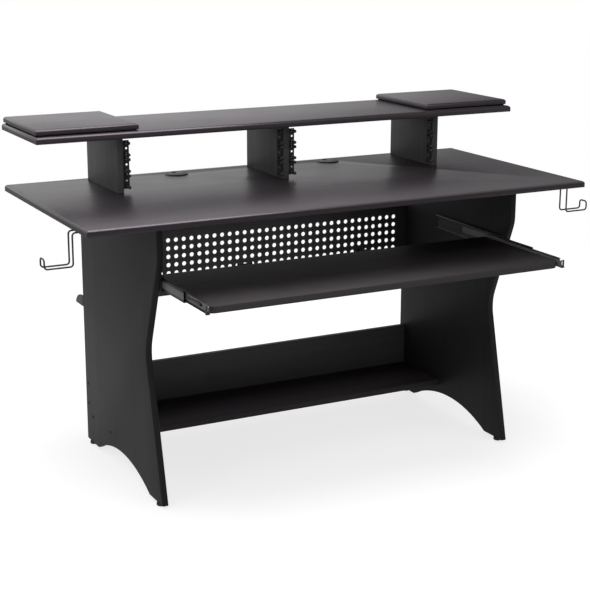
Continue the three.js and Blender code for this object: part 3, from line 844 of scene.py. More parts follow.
# The tab's edges wear paler than the rest of the steel: partly wear, and partly a painted highlight along its
# rim
TAB = replace(SLIDE, name="slide_tab_steel", coat=shade(0.02), bare=shade(0.3), worn=0.5)
SCREW = replace(
    SLIDE,
    name="blackened_screw_steel",
    slot="black_steel",
    coat=shade(0.01),
    grain=700.0,
    worn=0.4,
)
# The moving slide members are black steel; their pale coat is a painted reflection on the web, and the bands
# along their edges stay black
DRAWN = SlideFinish(
    name="drawn_slide_steel",
    slot="slide_steel",
    roughness=0.36,
    specular=0.5,
    coat=shade(0.085),
    bare=shade(0.3),
    grain=500.0,
    worn=0.3,
    metallic=0.3,
)
ZINC = PlatedFinish(
    name="zinc_plate",
    slot="zinc_steel",
    roughness=0.3,
    specular=0.5,
    plate=shade(0.55),
)
BALL = replace(ZINC, name="ball_steel", roughness=0.14, plate=shade(0.6))
PLASTIC = PlasticFinish(
    name="moulded_black_plastic",
    slot="black_plastic",
    roughness=0.42,
    specular=0.5,
    tone=shade(0.009),
)
PLUG = replace(PLASTIC, name="screw_cap_plastic", roughness=0.6, specular=0.12, tone=shade(0.003))
FOAM = PlasticFinish(
    name="foam_rubber_black",
    slot="pad_rubber",
    roughness=0.85,
    specular=0.3,
    tone=shade(0.006),
    grain=700.0,
    depth=0.0003,
)


# Mesh making


def arc(centre: Point, radius: float, start: float, end: float, steps: int) -> list[Point]:
    """Points on an arc, ends included.

    Args:
        centre: the arc's centre.
        radius: its radius.
        start: its first angle in degrees.
        end: its last angle in degrees.
        steps: how many steps it takes.

    Returns:
        The points in order.
    """
    angles = [math.radians(start + (end - start) * i / steps) for i in range(steps + 1)]
    return [(centre[0] + radius * math.cos(a), centre[1] + radius * math.sin(a)) for a in angles]


def circle(centre: Point, radius: float, sides: int) -> list[Point]:
    """The corners of a regular polygon round a circle's centre."""
    return arc(centre, radius, 0, 360 * (1 - 1 / sides), sides - 1)


def rounded_box(low: Point, high: Point, radius: float) -> list[Point]:
    """The outline of a rectangle with rounded corners.

    Args:
        low: its lowest corner.
        high: its highest corner.
        radius: the corners' radius.

    Returns:
        The points, anticlockwise.
    """
    centres = [
        (high[0] - radius, high[1] - radius),
        (low[0] + radius, high[1] - radius),
        (low[0] + radius, low[1] + radius),
        (high[0] - radius, low[1] + radius),
    ]
    points = []
    for turn, centre in enumerate(centres):
        points += arc(centre, radius, 90 * turn, 90 * turn + 90, CORNER_STEPS)
    return points


def spread(count: int, pitch: float) -> list[float]:
    """Places at an even pitch, centred on zero."""
    return [(i - (count - 1) / 2) * pitch for i in range(count)]


class Shape:
    """A mesh in the making, in metres, in the desk's own frame."""

    def __init__(self) -> None:
        """Starts an empty mesh."""
        self.mesh = bmesh.new()

    def prism(
        self,
        outline: Sequence[Point],
        axis: Axis,
        start: float,
        end: float,
        holes: Iterable[Sequence[Point]] = (),
    ) -> "Shape":
        """Adds a straight solid along an axis, with holes right through it.

        Args:
            outline: the outer corners, on the two axes that follow the solid's axis.
            axis: the axis that the solid runs along.
            start: where it starts.
            end: where it ends.
            holes: the corners of each hole.

        Returns:
            This shape.
        """
        loops = [list(outline)] + [list(hole) for hole in holes]
        order = [(axis.value + 1) % 3, (axis.value + 2) % 3]
        rings = []
        for level in (start, end):
            ring = []
            for loop in loops:
                corners = []
                for point in loop:
                    spot = Vector((0.0, 0.0, 0.0))
                    spot[axis.value] = level
                    spot[order[0]], spot[order[1]] = point
                    corners.append(self.mesh.verts.new(spot))
                ring.append(corners)
            rings.append(ring)
        triangles = tessellate_polygon([[Vector((u, v, 0.0)) for u, v in loop] for loop in loops])
        for ring in rings:
            corners = [corner for loop in ring for corner in loop]
            for triangle in triangles:
                self.mesh.faces.new([corners[i] for i in triangle])
        for first, second in zip(*rings):
            for i in range(len(first)):
                j = (i + 1) % len(first)
                self.mesh.faces.new([first[i], first[j], second[j], second[i]])
        bmesh.ops.recalc_face_normals(self.mesh, faces=self.mesh.faces)
        return self

    def box(self, low: Sequence[float], high: Sequence[float]) -> "Shape":
        """Adds a block between two corners."""
        outline = [(low[0], low[1]), (high[0], low[1]), (high[0], high[1]), (low[0], high[1])]
        return self.prism(outline, Axis.Z, low[2], high[2])

    def lathe(self, profile: Sequence[Point], centre: Vector, axis: Axis, way: int, sides: int) -> "Shape":
        """Adds a turned solid.

        Args:
            profile: radius and height of each point; it starts and ends on the axis, or closes on itself.
            centre: the point that the heights are measured from.
            axis: the turning axis.
            way: +1 or -1, the way that the heights go along the axis.
            sides: how many sides the turning has.

        Returns:
            This shape.
        """
        first = Axis((axis.value + 1) % 3).vector
        second = Axis((axis.value + 2) % 3).vector
        closed = profile[0][0] > 0
        turns = [2 * math.pi * i / sides for i in range(sides)]
        spokes = [first * math.cos(a) + second * math.sin(a) for a in turns]
        rings = []
        for radius, height in profile:
            base = centre + axis.vector * (height * way)
            if radius > 0:
                rings.append([self.mesh.verts.new(base + spoke * radius) for spoke in spokes])
            else:
                rings.append([self.mesh.verts.new(base)])
        pairs = list(zip(rings, rings[1:] + rings[:1])) if closed else list(zip(rings, rings[1:]))
        made = []
        for lower, upper in pairs:
            for i in range(sides):
                j = (i + 1) % sides
                below = [lower[i % len(lower)], lower[j % len(lower)]]
                above = [upper[j % len(upper)], upper[i % len(upper)]]
                unique = list(dict.fromkeys(below + above))
                if len(unique) > 2:
                    made.append(self.mesh.faces.new(unique))
        bmesh.ops.recalc_face_normals(self.mesh, faces=made)
        return self

    def tube(self, points: Sequence[Vector], radius: float, sides: int) -> "Shape":
        """Adds a round wire along points.

        Args:
            points: the wire's middle line.
            radius: its radius.
            sides: how many sides it has.

        Returns:
            This shape.
        """
        ways = [(b - a).normalized() for a, b in zip(points, points[1:])]
        across = ways[0].orthogonal().normalized()
        turns = [2 * math.pi * k / sides for k in range(sides)]
        rings = []
        for i, point in enumerate(points):
            before = ways[max(i - 1, 0)]
            after = ways[min(i, len(ways) - 1)]
            along = (before + after).normalized()
            across = (across - along * across.dot(along)).normalized()
            side = along.cross(across)
            spokes = [across * math.cos(a) + side * math.sin(a) for a in turns]
            rings.append([self.mesh.verts.new(point + spoke * radius) for spoke in spokes])
        made = [self.mesh.faces.new(rings[0][::-1]), self.mesh.faces.new(rings[-1])]
        for lower, upper in zip(rings, rings[1:]):
            for i in range(sides):
                j = (i + 1) % sides
                made.append(self.mesh.faces.new([lower[i], lower[j], upper[j], upper[i]]))
        bmesh.ops.recalc_face_normals(self.mesh, faces=made)
        return self

    def ball(self, centre: Vector, radius: float) -> "Shape":
        """Adds a ball as a turned half circle."""
        side = arc((0.0, 0.0), radius, -90, 90, BALL_STEPS)[1:-1]
        return self.lathe([(0.0, -radius), *side, (0.0, radius)], centre, Axis.Z, 1, BALL_SIDES)

    def fold(self, outward: Vector, centre: Vector, turn_axis: Vector, flange: float) -> "Shape":
        """Bends a sheet squarely at its outermost border, and runs a flange on from the bend.

        Args:
            outward: the way that the border faces.
            centre: a point on the axis of the bend.
            turn_axis: the axis of the bend.
            flange: the length of the straight flange after the bend.

        Returns:
            This shape.
        """
        reach = max(v.co.dot(outward) for v in self.mesh.verts)
        border = {v for v in self.mesh.verts if abs(v.co.dot(outward) - reach) < SAME_PLANE}
        faces = [face for face in self.mesh.faces if border.issuperset(face.verts)]
        turned = bmesh.ops.spin(
            self.mesh,
            geom=faces,
            cent=centre,
            axis=turn_axis,
            dvec=(0.0, 0.0, 0.0),
            angle=SQUARE_BEND,
            steps=BEND_STEPS,
            use_duplicate=False,
        )
        last = [part for part in turned["geom_last"] if isinstance(part, bmesh.types.BMFace)]
        way = Matrix.Rotation(SQUARE_BEND, 3, turn_axis) @ outward
        pushed = bmesh.ops.extrude_face_region(self.mesh, geom=last)
        ends = [part for part in pushed["geom"] if isinstance(part, bmesh.types.BMVert)]
        bmesh.ops.translate(self.mesh, verts=ends, vec=way * flange)
        stale = [face for face in faces + last if face.is_valid]
        bmesh.ops.delete(self.mesh, geom=stale, context="FACES_ONLY")
        bmesh.ops.recalc_face_normals(self.mesh, faces=self.mesh.faces)
        return self

    def ease(self, width: float, segments: int = 2) -> "Shape":
        """Rounds every sharp edge.

        Args:
            width: how wide the rounding is.
            segments: how many steps it has.

        Returns:
            This shape.
        """
        joined = [edge for edge in self.mesh.edges if len(edge.link_faces) == 2]
        edges = [edge for edge in joined if edge.calc_face_angle(0.0) > SHARP_ANGLE]
        bmesh.ops.bevel(
            self.mesh,
            geom=edges,
            offset=width,
            offset_type="OFFSET",
            segments=segments,
            profile=0.5,
            affect="EDGES",
            clamp_overlap=True,
        )
        return self

    def flatten(self) -> "Shape":
        """Joins the triangles of each flat face.

        Returns:
            This shape.
        """
        bmesh.ops.remove_doubles(self.mesh, verts=self.mesh.verts, dist=SAME_POINT)
        bmesh.ops.dissolve_limit(
            self.mesh,
            angle_limit=FLAT_ANGLE,
            use_dissolve_boundaries=False,
            verts=self.mesh.verts,
            edges=self.mesh.edges,
        )
        return self

    def make(
        self,
        name: str,
        finish: Finish,
        body: str = "desk",
        replaces: Sequence[str] = (),
    ) -> bpy.types.Object:
        """Ends the mesh and puts it on the desk.

        Args:
            name: the piece's name.
            finish: its finish.
            body: the body that it rides on.
            replaces: the frame's nodes that it stands for.

        Returns:
            The piece.
        """
        mesh = bpy.data.meshes.new(name)
        self.mesh.to_mesh(mesh)
        self.mesh.free()
        mesh.polygons.foreach_set("use_smooth", [True] * len(mesh.polygons))
        mesh.set_sharp_from_angle(angle=SHARP_ANGLE)
        piece = bpy.data.objects.new(name, mesh)
        bpy.context.scene.collection.objects.link(piece)
        mesh.materials.append(finish.material())
        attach(piece, body)
        if replaces:
            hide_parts(*replaces)
        log.info("%s: %d faces on %s", name, len(mesh.polygons), body)
        return piece


def eased_copy(node: str, finish: Finish, body: str, width: float) -> bpy.types.Object:
    """Makes the fine version of a frame node: the same shape with its edges rounded.

    Args:
        node: the frame's node.
        finish: the finish of the piece.
        body: the body that it rides on.
        width: how wide the edges are rounded.

    Returns:
        The piece.
    """
    shape = Shape()
    shape.mesh.from_mesh(frame["nodes"][node].data)
    shape.flatten().ease(width)
    return shape.make(node + "_fine", finish, body, [node])


# Sub-assemblies


@dataclass
class Boards:
    """The melamine boards: the flat ones, the side panels, the risers and the back board."""

    arris: float = 0.0007
    pad_arris: float = 0.0005
    # The boards are one black melamine; each board's tone is set to the light that falls on it, as painted
    # light, and the foot shelf is painted paler to lift its shade
    flat: dict[str, BoardFinish] = field(
        default_factory=lambda: {
            "upper_shelf": top_board(3.1, tone=0.015, roughness=0.34, specular=0.6),
            "speaker_platform_left": top_board(5.3, tone=0.015, roughness=0.34, specular=0.6),
            "speaker_platform_right": top_board(7.7, tone=0.015, roughness=0.34, specular=0.6),
            "foot_shelf": top_board(9.4, tone=0.055, roughness=0.5, specular=0.1),
        }
    )
    # The colour of the painted light along the front of the tabletop and the tray
    pale: Colour = shade(0.045, warmth=0.02, purple=0.08)
    top: BoardFinish = top_board(0.0, tone=0.009, roughness=0.36, specular=0.58)
    top_lit_depth: float = 0.4
    # The tray's face is painted dark as painted shade under the tabletop, its edge band pale as painted light
    # on its front edge, and its front strip of painted light weakens towards the right
    tray: BoardFinish = replace(
        top_board(11.2, tone=0.006, roughness=0.5, specular=0.03),
        band=shade(0.04, warmth=0.02, purple=0.05),
        lit_front_right=0.45,
    )
    tray_lit_depth: float = 0.2
    # The risers and the back board are painted paler, and each side panel to its own level, as painted light
    # on the same black melamine
    upright: dict[str, BoardFinish] = field(
        default_factory=lambda: {
            "side_panel_left": panel_board(Axis.Z, Axis.X, 1.3, tone=0.017, specular=0.1),
            "side_panel_right": panel_board(Axis.Z, Axis.X, 4.2, tone=0.019, specular=0.12),
            "riser_left": panel_board(Axis.Z, Axis.X, 6.6, tone=0.078, specular=0.2),
            "riser_centre": panel_board(Axis.Z, Axis.X, 8.1, tone=0.072, specular=0.2),
            "riser_right": panel_board(Axis.Z, Axis.X, 12.5, tone=0.072, specular=0.2),
            "lower_back_board": panel_board(Axis.X, Axis.Y, 2.2, tone=0.06, specular=0.2),
        }
    )

    def build(self) -> None:
        """Makes every board."""
        for node, finish in self.flat.items():
            eased_copy(node, finish, "desk", self.arris)
        self.lit_front("tabletop", "desk", self.top, self.top_lit_depth)
        self.lit_front("keyboard_tray", "tray", self.tray, self.tray_lit_depth)
        for node, finish in self.upright.items():
            eased_copy(node, finish, "desk", self.arris)
        for name in SIDES:
            eased_copy(f"platform_pad_{name}", FOAM, "desk", self.pad_arris)

    def lit_front(self, node: str, body: str, finish: BoardFinish, depth: float) -> None:
        """Makes a board with painted light along its front: a pale strip that stands in for the light that
        falls there.

        Args:
            node: the board's node.
            body: the body that it rides on.
            finish: the board's own finish.
            depth: how far back the pale strip fades out.
        """
        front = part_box(node)[0].y
        # The board's finish with the painted light of its front strip
        worn = replace(finish, lit_front=self.pale, lit_front_from=front, lit_front_depth=depth)
        eased_copy(node, worn, body, self.arris)


@dataclass
class PerforatedSheet:
    """The modesty panel: one folded sheet with rows of round holes, and its cleats."""

    thickness: float = 0.0015
    bend: float = 0.002
    pitch: float = 0.025
    hole: float = 0.013
    columns: int = 40
    rows: int = 6
    hole_sides: int = 20

    def build(self) -> None:
        """Makes the sheet and the cleats that hold it."""
        low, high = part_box("modesty_panel")
        turn = self.bend + self.thickness
        middle = (low.z + high.z) / 2
        holes = [
            circle((middle + up, along), self.hole / 2, self.hole_sides)
            for up in spread(self.rows, self.pitch)
            for along in spread(self.columns, self.pitch)
        ]
        bottom, top = low.z + turn, high.z - turn
        outline = [(bottom, low.x), (top, low.x), (top, high.x), (bottom, high.x)]
        sheet = Shape().prism(outline, Axis.Y, low.y, low.y + self.thickness, holes)
        flange = high.y - low.y - turn
        for way in (1, -1):
            centre = Vector((0.0, low.y + turn, top if way > 0 else bottom))
            sheet.fold(Vector((0, 0, way)), centre, Vector((-way, 0, 0)), flange)
        sheet.make("perforated_sheet", POWDER, "desk", ["modesty_panel"])
        for end in ("lower", "upper"):
            for name in SIDES:
                eased_copy(f"sheet_cleat_{end}_{name}", POWDER, "desk", SHEET_ARRIS)


@dataclass
class CableTray:
    """The bent steel tray behind the side panels."""

    arris: float = SHEET_ARRIS

    def build(self) -> None:
        """Makes the tray with its arrises eased."""
        eased_copy("cable_tray", POWDER, "desk", self.arris)


@dataclass
class RackRails:
    """The four rails of the rack bays and their screws."""

    thickness: float = 0.002
    bend: float = 0.001
    hole: float = 0.0062
    hole_sides: int = 16
    unit: float = 0.04445
    rise: float = 0.015875
    hole_from_riser: float = 0.01095
    units: int = 3
    head_radius: float = 0.0044
    head_height: float = 0.0036
    crown_height: float = 0.0012
    crown_drop: float = 0.0003
    crown_share: float = 0.8
    socket_share: float = 0.45
    socket_depth: float = 0.0018
    socket_point: float = 0.0022
    screw_sides: int = 18
    washer_radius: float = 0.005
    washer_height: float = 0.001
    shank_radius: float = 0.0026
    shank_behind: float = 0.005
    stand_out: float = 0.0172
    rails: dict[str, int] = field(
        default_factory=lambda: {
            "rack_rail_left_outer": 1,
            "rack_rail_left_inner": -1,
            "rack_rail_right_inner": 1,
            "rack_rail_right_outer": -1,
        }
    )

    def build(self) -> None:
        """Makes the rails, each with its row of screws."""
        for node, side in self.rails.items():
            self.rail(node, side)
            self.screws(node, side)

    def heights(self, node: str) -> list[list[float]]:
        """The heights of a rail's holes.

        Args:
            node: the rail's node.

        Returns:
            Three heights for each unit.
        """
        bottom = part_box(node)[0].z
        middles = [bottom + (unit + 0.5) * self.unit for unit in range(self.units)]
        return [[middle - self.rise, middle, middle + self.rise] for middle in middles]

    def hole_x(self, node: str, side: int) -> float:
        """Where a rail's holes lie across the desk."""
        low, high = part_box(node)
        return (low.x if side > 0 else high.x) + side * self.hole_from_riser

    def rail(self, node: str, side: int) -> None:
        """Makes one rail as a folded strip with round holes.

        Args:
            node: the rail's node.
            side: +1 where its front flange runs to the right.
        """
        low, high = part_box(node)
        turn = self.bend + self.thickness
        wall = low.x if side > 0 else high.x
        free = high.x if side > 0 else low.x
        x0, x1 = sorted((wall + side * turn, free))
        outline = [(low.z, x0), (high.z, x0), (high.z, x1), (low.z, x1)]
        x = self.hole_x(node, side)
        heights = [z for unit in self.heights(node) for z in unit]
        holes = [circle((z, x), self.hole / 2, self.hole_sides) for z in heights]
        rail = Shape().prism(outline, Axis.Y, low.y, low.y + self.thickness, holes)
        centre = Vector((wall + side * turn, low.y + turn, 0.0))
        rail.fold(Vector((-side, 0, 0)), centre, Vector((0, 0, -side)), high.y - low.y - turn)
        rail.make(node + "_fine", POWDER, "desk", [node])

    def screws(self, node: str, side: int) -> None:
        """Makes the screws that wait, half driven in, in the upper and lower hole of each unit.

        Args:
            node: the rail's node.
            side: +1 where its front flange runs to the right.
        """
        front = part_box(node)[0].y
        seat = self.stand_out
        bearing = seat + self.washer_height
        head = bearing + self.head_height
        profile = [
            (0.0, -self.shank_behind),
            (self.shank_radius, -self.shank_behind),
            (self.shank_radius, seat),
            (self.washer_radius, seat),
            (self.washer_radius, bearing),
            (self.head_radius, bearing),
            (self.head_radius, head - self.crown_height),
            (self.head_radius * self.crown_share, head - self.crown_drop),
            (self.head_radius * self.socket_share, head),
            (self.head_radius * self.socket_share, head - self.socket_depth),
            (0.0, head - self.socket_point),
        ]
        screws = Shape()
        for unit in self.heights(node):
            for z in (unit[0], unit[2]):
                spot = Vector((self.hole_x(node, side), front, z))
                screws.lathe(profile, spot, Axis.Y, -1, self.screw_sides)
        screws.make(node.replace("rail", "screws"), SCREW)


@dataclass(frozen=True)
class ScrewHead:
    """A domed screw head with a socket."""

    radius: float
    height: float
    side_share: float = 0.35
    shoulder_shares: tuple[float, float] = (0.88, 0.75)
    crown_share: float = 0.62
    socket_share: float = 0.45
    floor_shares: tuple[float, float] = (0.35, 0.3)
    sides: int = 18

    def profile(self) -> list[Point]:
        """The outline that is turned into the head.

        Returns:
            The radius and height of each point, from the bearing face up.
        """
        socket = self.radius * self.socket_share
        return [
            (0.0, 0.0),
            (self.radius, 0.0),
            (self.radius, self.height * self.side_share),
            (self.radius * self.shoulder_shares[0], self.height * self.shoulder_shares[1]),
            (self.radius * self.crown_share, self.height),
            (socket, self.height),
            (socket, self.height * self.floor_shares[0]),
            (0.0, self.height * self.floor_shares[1]),
        ]

    def place(
        self,
        name: str,
        spots: Sequence[Vector],
        axis: Axis,
        way: int,
        finish: Finish = SCREW,
        body: str = "desk",
    ) -> bpy.types.Object:
        """Makes a set of such heads.

        Args:
            name: the name of the set.
            spots: where each head sits, on the face that it bears on.
            axis: the axis of the screws.
            way: the way that the heads look along it.
            finish: their finish.
            body: the body that they ride on.

        Returns:
            The piece.
        """
        heads = Shape()
        for spot in spots:
            heads.lathe(self.profile(), spot, axis, way, self.sides)
        return heads.make(name, finish, body)


@dataclass
class SideHooks:
    """The bent wire hooks under the ends of the tabletop."""

    wire: float = 0.0045
    wire_sides: int = 14
    weld: float = 0.0004
    bend: float = 0.008
    bend_steps: int = 7
    spacing: float = 0.03
    gap: float = 0.0045
    drop: float = 0.085
    reach: float = 0.074
    tip: float = 0.025
    run: float = 0.062
    plate_length: float = 0.046
    plate_overhang: float = 0.012
    plate: float = 0.002
    plate_corner: float = 0.004
    screw_inset: float = 0.007
    screw: ScrewHead = ScrewHead(0.0034, 0.0016)

    def build(self) -> None:
        """Makes both hooks and the screws of their plates."""
        for name, side in SIDES.items():
            self.hook(name, side)

    def path(self, side: int) -> list[Vector]:
        """The middle line of one hook's wire, bends included.

        Args:
            side: -1 for the left hook.

        Returns:
            The points from one welded end to the other.
        """
        low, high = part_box(f"hook_{'left' if side < 0 else 'right'}")
        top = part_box("tabletop")[1]
        middle = (low.y + high.y) / 2
        level = high.z - self.plate - self.wire / 2 + self.weld
        edge = top.x + self.gap + self.wire / 2
        far = side * (edge + self.reach)
        corners = []
        for y, order in ((middle - self.spacing / 2, 1), (middle + self.spacing / 2, -1)):
            leg = [
                Vector((side * (top.x - self.run), y, level)),
                Vector((side * edge, y, level)),
                Vector((side * edge, y, level - self.drop)),
                Vector((far, y, level - self.drop)),
                Vector((far, y, level - self.drop + self.tip)),
            ]
            corners += leg[::order]
        return bent(corners, self.bend, self.bend_steps)

    def hook(self, name: str, side: int) -> None:
        """Makes one hook.

        Args:
            name: left or right.
            side: -1 for the left hook.
        """
        low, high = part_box(f"hook_{name}")
        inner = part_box("tabletop")[1].x - self.run - self.plate_overhang
        x0, x1 = sorted((side * inner, side * (inner + self.plate_length)))
        outline = rounded_box((x0, low.y), (x1, high.y), self.plate_corner)
        wire = Shape().tube(self.path(side), self.wire / 2, self.wire_sides)
        wire.prism(outline, Axis.Z, high.z - self.plate, high.z)
        wire.make(f"hook_wire_{name}", WIRE, "desk", [f"hook_{name}"])
        spots = [
            Vector((x, y, high.z - self.plate))
            for x in (x0 + self.screw_inset, x1 - self.screw_inset)
            for y in (low.y + self.screw_inset, high.y - self.screw_inset)
        ]
        self.screw.place(f"hook_screws_{name}", spots, Axis.Z, -1)


def bent(corners: Sequence[Vector], bend: float, steps: int) -> list[Vector]:
    """A line through corners with a round bend at each inner one.

    Args:
        corners: the line's corners.
        bend: the radius of the bends.
        steps: the steps in each bend.

    Returns:
        The points of the bent line.
    """
    points = [corners[0]]
    for before, corner, after in zip(corners, corners[1:], corners[2:]):
        back = (before - corner).normalized()
        on = (after - corner).normalized()
        centre = corner + (back + on) * bend
        for k in range(steps + 1):
            angle = math.pi / 2 * k / steps
            points.append(centre - on * bend * math.cos(angle) - back * bend * math.sin(angle))
    points.append(corners[-1])
    return points


@dataclass
class Grommets:
    """The cable grommets: a moulded ring in the tabletop and a turning cap in it."""

    flange: float = 0.034
    hole: float = 0.0297
    wall: float = 0.0022
    ledge: float = 0.0026
    rim: float = 0.0025
    rim_shares: tuple[Point, ...] = ((0.0, 0.35), (0.25, 0.75), (0.7, 1.0))
    lip: float = 0.0006
    cap: float = 0.003
    cap_arris: float = 0.0005
    gap: float = 0.0003
    slot_width: float = 0.015
    slot_depth: float = 0.017
    slot_steps: int = 12
    sides: int = 56

    def build(self) -> None:
        """Makes both rings and both caps."""
        for name in SIDES:
            self.ring(name)
            self.lid(name)

    def centre(self, name: str) -> Vector:
        """The middle of a grommet on the tabletop's face."""
        low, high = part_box(f"grommet_ring_{name}")
        return Vector(((low.x + high.x) / 2, (low.y + high.y) / 2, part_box("tabletop")[1].z))

    def ring(self, name: str) -> None:
        """Makes one ring.

        Args:
            name: left or right.
        """
        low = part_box(f"grommet_ring_{name}")[0]
        centre = self.centre(name)
        depth = low.z - centre.z
        inner = self.hole - self.wall
        seat = self.rim - self.cap - self.gap
        rim = [(self.flange - self.rim * inset, self.rim * rise) for inset, rise in self.rim_shares]
        profile = [
            (inner - self.ledge, depth),
            (self.hole, depth),
            (self.hole, 0.0),
            (self.flange, 0.0),
            *rim,
            (inner + self.lip, self.rim),
            (inner, self.rim - self.lip),
            (inner, seat),
            (inner - self.ledge, seat),
        ]
        ring = Shape().lathe(profile, centre, Axis.Z, 1, self.sides)
        ring.make(f"grommet_ring_{name}_fine", PLASTIC, "desk", [f"grommet_ring_{name}"])

    def lid(self, name: str) -> None:
        """Makes one cap with its cable slot.

        Args:
            name: left or right.
        """
        node = f"grommet_cap_{name}"
        low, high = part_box(node)
        centre = self.centre(name)
        radius = self.hole - self.wall - self.gap
        half = self.slot_width / 2
        opening = math.degrees(math.asin(half / radius))
        rim = arc((centre.x, centre.y), radius, 90 + opening, 450 - opening, self.sides)
        end = centre.y + radius - self.slot_depth + half
        slot = arc((centre.x, end), half, 0, -180, self.slot_steps)
        cap = Shape().prism(rim + slot, Axis.Z, low.z, high.z)
        cap.flatten().ease(self.cap_arris)
        cap.make(node + "_fine", PLASTIC, f"cap_{name}", [node])


@dataclass
class Glides:
    """The round plastic glides under the feet."""

    radius: float = 0.012
    height: float = 0.008
    edge: float = 0.0025
    edge_steps: int = 5
    lip: float = 0.0006
    crown_radius: float = 0.003
    sides: int = 36

    def build(self) -> None:
        """Makes the four glides."""
        edge = arc((self.radius - self.edge, self.edge), self.edge, -90, 0, self.edge_steps)
        profile = [
            (0.0, self.lip),
            (self.crown_radius, 0.0),
            *edge,
            (self.radius, self.height - self.lip),
            (self.radius - self.lip, self.height),
            (0.0, self.height),
        ]
        for end in ("front", "rear"):
            for name in SIDES:
                node = f"foot_glide_{end}_{name}"
                low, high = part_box(node)
                centre = Vector(((low.x + high.x) / 2, (low.y + high.y) / 2, low.z))
                glide = Shape().lathe(profile, centre, Axis.Z, 1, self.sides)
                glide.make(node + "_fine", PLASTIC, "desk", [node])


@dataclass
class Slides:
    """The telescopic slides of the keyboard tray, with retainers, balls, levers and rivets."""

    lever_arris: float = 0.0003
    ball_pitch: float = 0.036
    balls: int = 4
    ball_radius: float = 0.00156
    tab: float = 0.0012
    tab_half: float = 0.009
    tab_depth: float = 0.0116
    tab_gap: float = 0.0006
    tab_corner: float = 0.002
    slot_half: tuple[float, float] = (0.0055, 0.0014)
    slot_place_share: float = 0.4
    slot_corner_share: float = 0.95
    tongue_depth_share: float = 0.5
    tongue_length: float = 0.004
    tongue_lap: float = 0.0002
    tongue_below: tuple[float, float] = (0.0085, 0.0073)
    bumper_drop: float = 0.0128
    bumper_length: float = 0.0032
    bumper_lap: float = 0.0005
    bumper_corner: float = 0.0018
    bumper_arris: float = 0.0008
    bumper_steps: int = 3
    rivet_shares: tuple[float, float] = (0.35, 0.72)
    rivet: ScrewHead = ScrewHead(0.0018, 0.0009)

    def build(self) -> None:
        """Makes both slides."""
        for name, side in SIDES.items():
            self.members(name)
            self.nose(name, side)
            self.balls_of(name)

    def members(self, name: str) -> None:
        """Makes the three members and the lever of one slide, and gives the cages their plated finish.

        Args:
            name: left or right.
        """
        low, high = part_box(f"slide_outer_{name}")
        # The moving members' webs are painted pale as a painted reflection
        drawn = replace(DRAWN, centre=(low.z + high.z) / 2)
        eased_copy(f"slide_outer_{name}", SLIDE, "desk", SHEET_ARRIS)
        eased_copy(f"slide_middle_{name}", drawn, f"middle_{name}", SHEET_ARRIS)
        eased_copy(f"slide_inner_{name}", drawn, "tray", SHEET_ARRIS)
        eased_copy(f"slide_lever_{name}", PLASTIC, f"lever_{name}", self.lever_arris)
        for member in ("outer", "inner"):
            node = frame["nodes"][f"retainer_{member}_{name}"]
            node.data.materials.clear()
            node.data.materials.append(ZINC.material())

    def nose(self, name: str, side: int) -> None:
        """Makes the slotted end tab and the rubber bumper at the front of one slide.

        Args:
            name: left or right.
            side: -1 for the left slide.
        """
        low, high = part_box(f"slide_inner_{name}")
        near = low.x if side > 0 else high.x
        middle = (low.z + high.z) / 2
        depth = side * self.tab_depth
        x0, x1 = sorted((near, near + depth))
        front = low.y - self.tab_gap
        centre = near + depth * self.slot_place_share
        tall, wide = self.slot_half
        slot = rounded_box(
            (middle - tall, centre - wide),
            (middle + tall, centre + wide),
            wide * self.slot_corner_share,
        )
        bottom = middle - self.tab_half
        plate = rounded_box((bottom, x0), (middle + self.tab_half, x1), self.tab_corner)
        tab = Shape().prism(plate, Axis.Y, front - self.tab, front, [slot])
        inside = sorted((near + side * self.tab, near + depth * self.tongue_depth_share))
        tab.box(
            (inside[0], front - self.tongue_lap, middle - self.tongue_below[0]),
            (inside[1], low.y + self.tongue_length, middle - self.tongue_below[1]),
        )
        tab.make(f"slide_tab_{name}", TAB, "tray")
        top = bottom + self.bumper_lap
        foot = rounded_box((middle - self.bumper_drop, x0), (top, x1), self.bumper_corner)
        bumper = Shape().prism(foot, Axis.Y, front - self.bumper_length, front)
        bumper.ease(self.bumper_arris, self.bumper_steps)
        bumper.make(f"slide_bumper_{name}", PLASTIC, "tray")
        across, up = self.rivet_shares
        spot = Vector((near + depth * across, front - self.tab, middle + self.tab_half * up))
        self.rivet.place(f"slide_rivet_{name}", [spot], Axis.Y, -1, ZINC, "tray")

    def balls_of(self, name: str) -> None:
        """Makes the round balls in the cages of one slide.

        Args:
            name: left or right.
        """
        for member in ("outer", "inner"):
            low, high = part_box(f"retainer_{member}_{name}")
            middle = (low + high) / 2
            balls = Shape()
            for along in spread(self.balls, self.ball_pitch):
                for z in (low.z + self.ball_radius, high.z - self.ball_radius):
                    balls.ball(Vector((middle.x, middle.y + along, z)), self.ball_radius)
            balls.make(f"balls_{member}_{name}", BALL, f"cage_{member}_{name}")


@dataclass
class Brackets:
    """The angle brackets under the tabletop, with their screws."""

    leg: float = 0.02
    plate: float = 0.002
    arris: float = 0.0003
    across_share: float = 0.4
    along_shares: tuple[float, float] = (0.25, 0.75)
    screw: ScrewHead = ScrewHead(0.0036, 0.0016)

    def build(self) -> None:
        """Makes the four brackets and their screws."""
        for end in ("front", "rear"):
            for name, side in SIDES.items():
                node = f"top_bracket_{end}_{name}"
                eased_copy(node, ZINC, "desk", self.arris)
                low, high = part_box(node)
                x = (low.x if side > 0 else high.x) + side * self.leg * self.across_share
                spots = [
                    Vector((x, low.y + share * (high.y - low.y), high.z - self.plate))
                    for share in self.along_shares
                ]
                self.screw.place(f"bracket_screws_{end}_{name}", spots, Axis.Z, -1, ZINC)


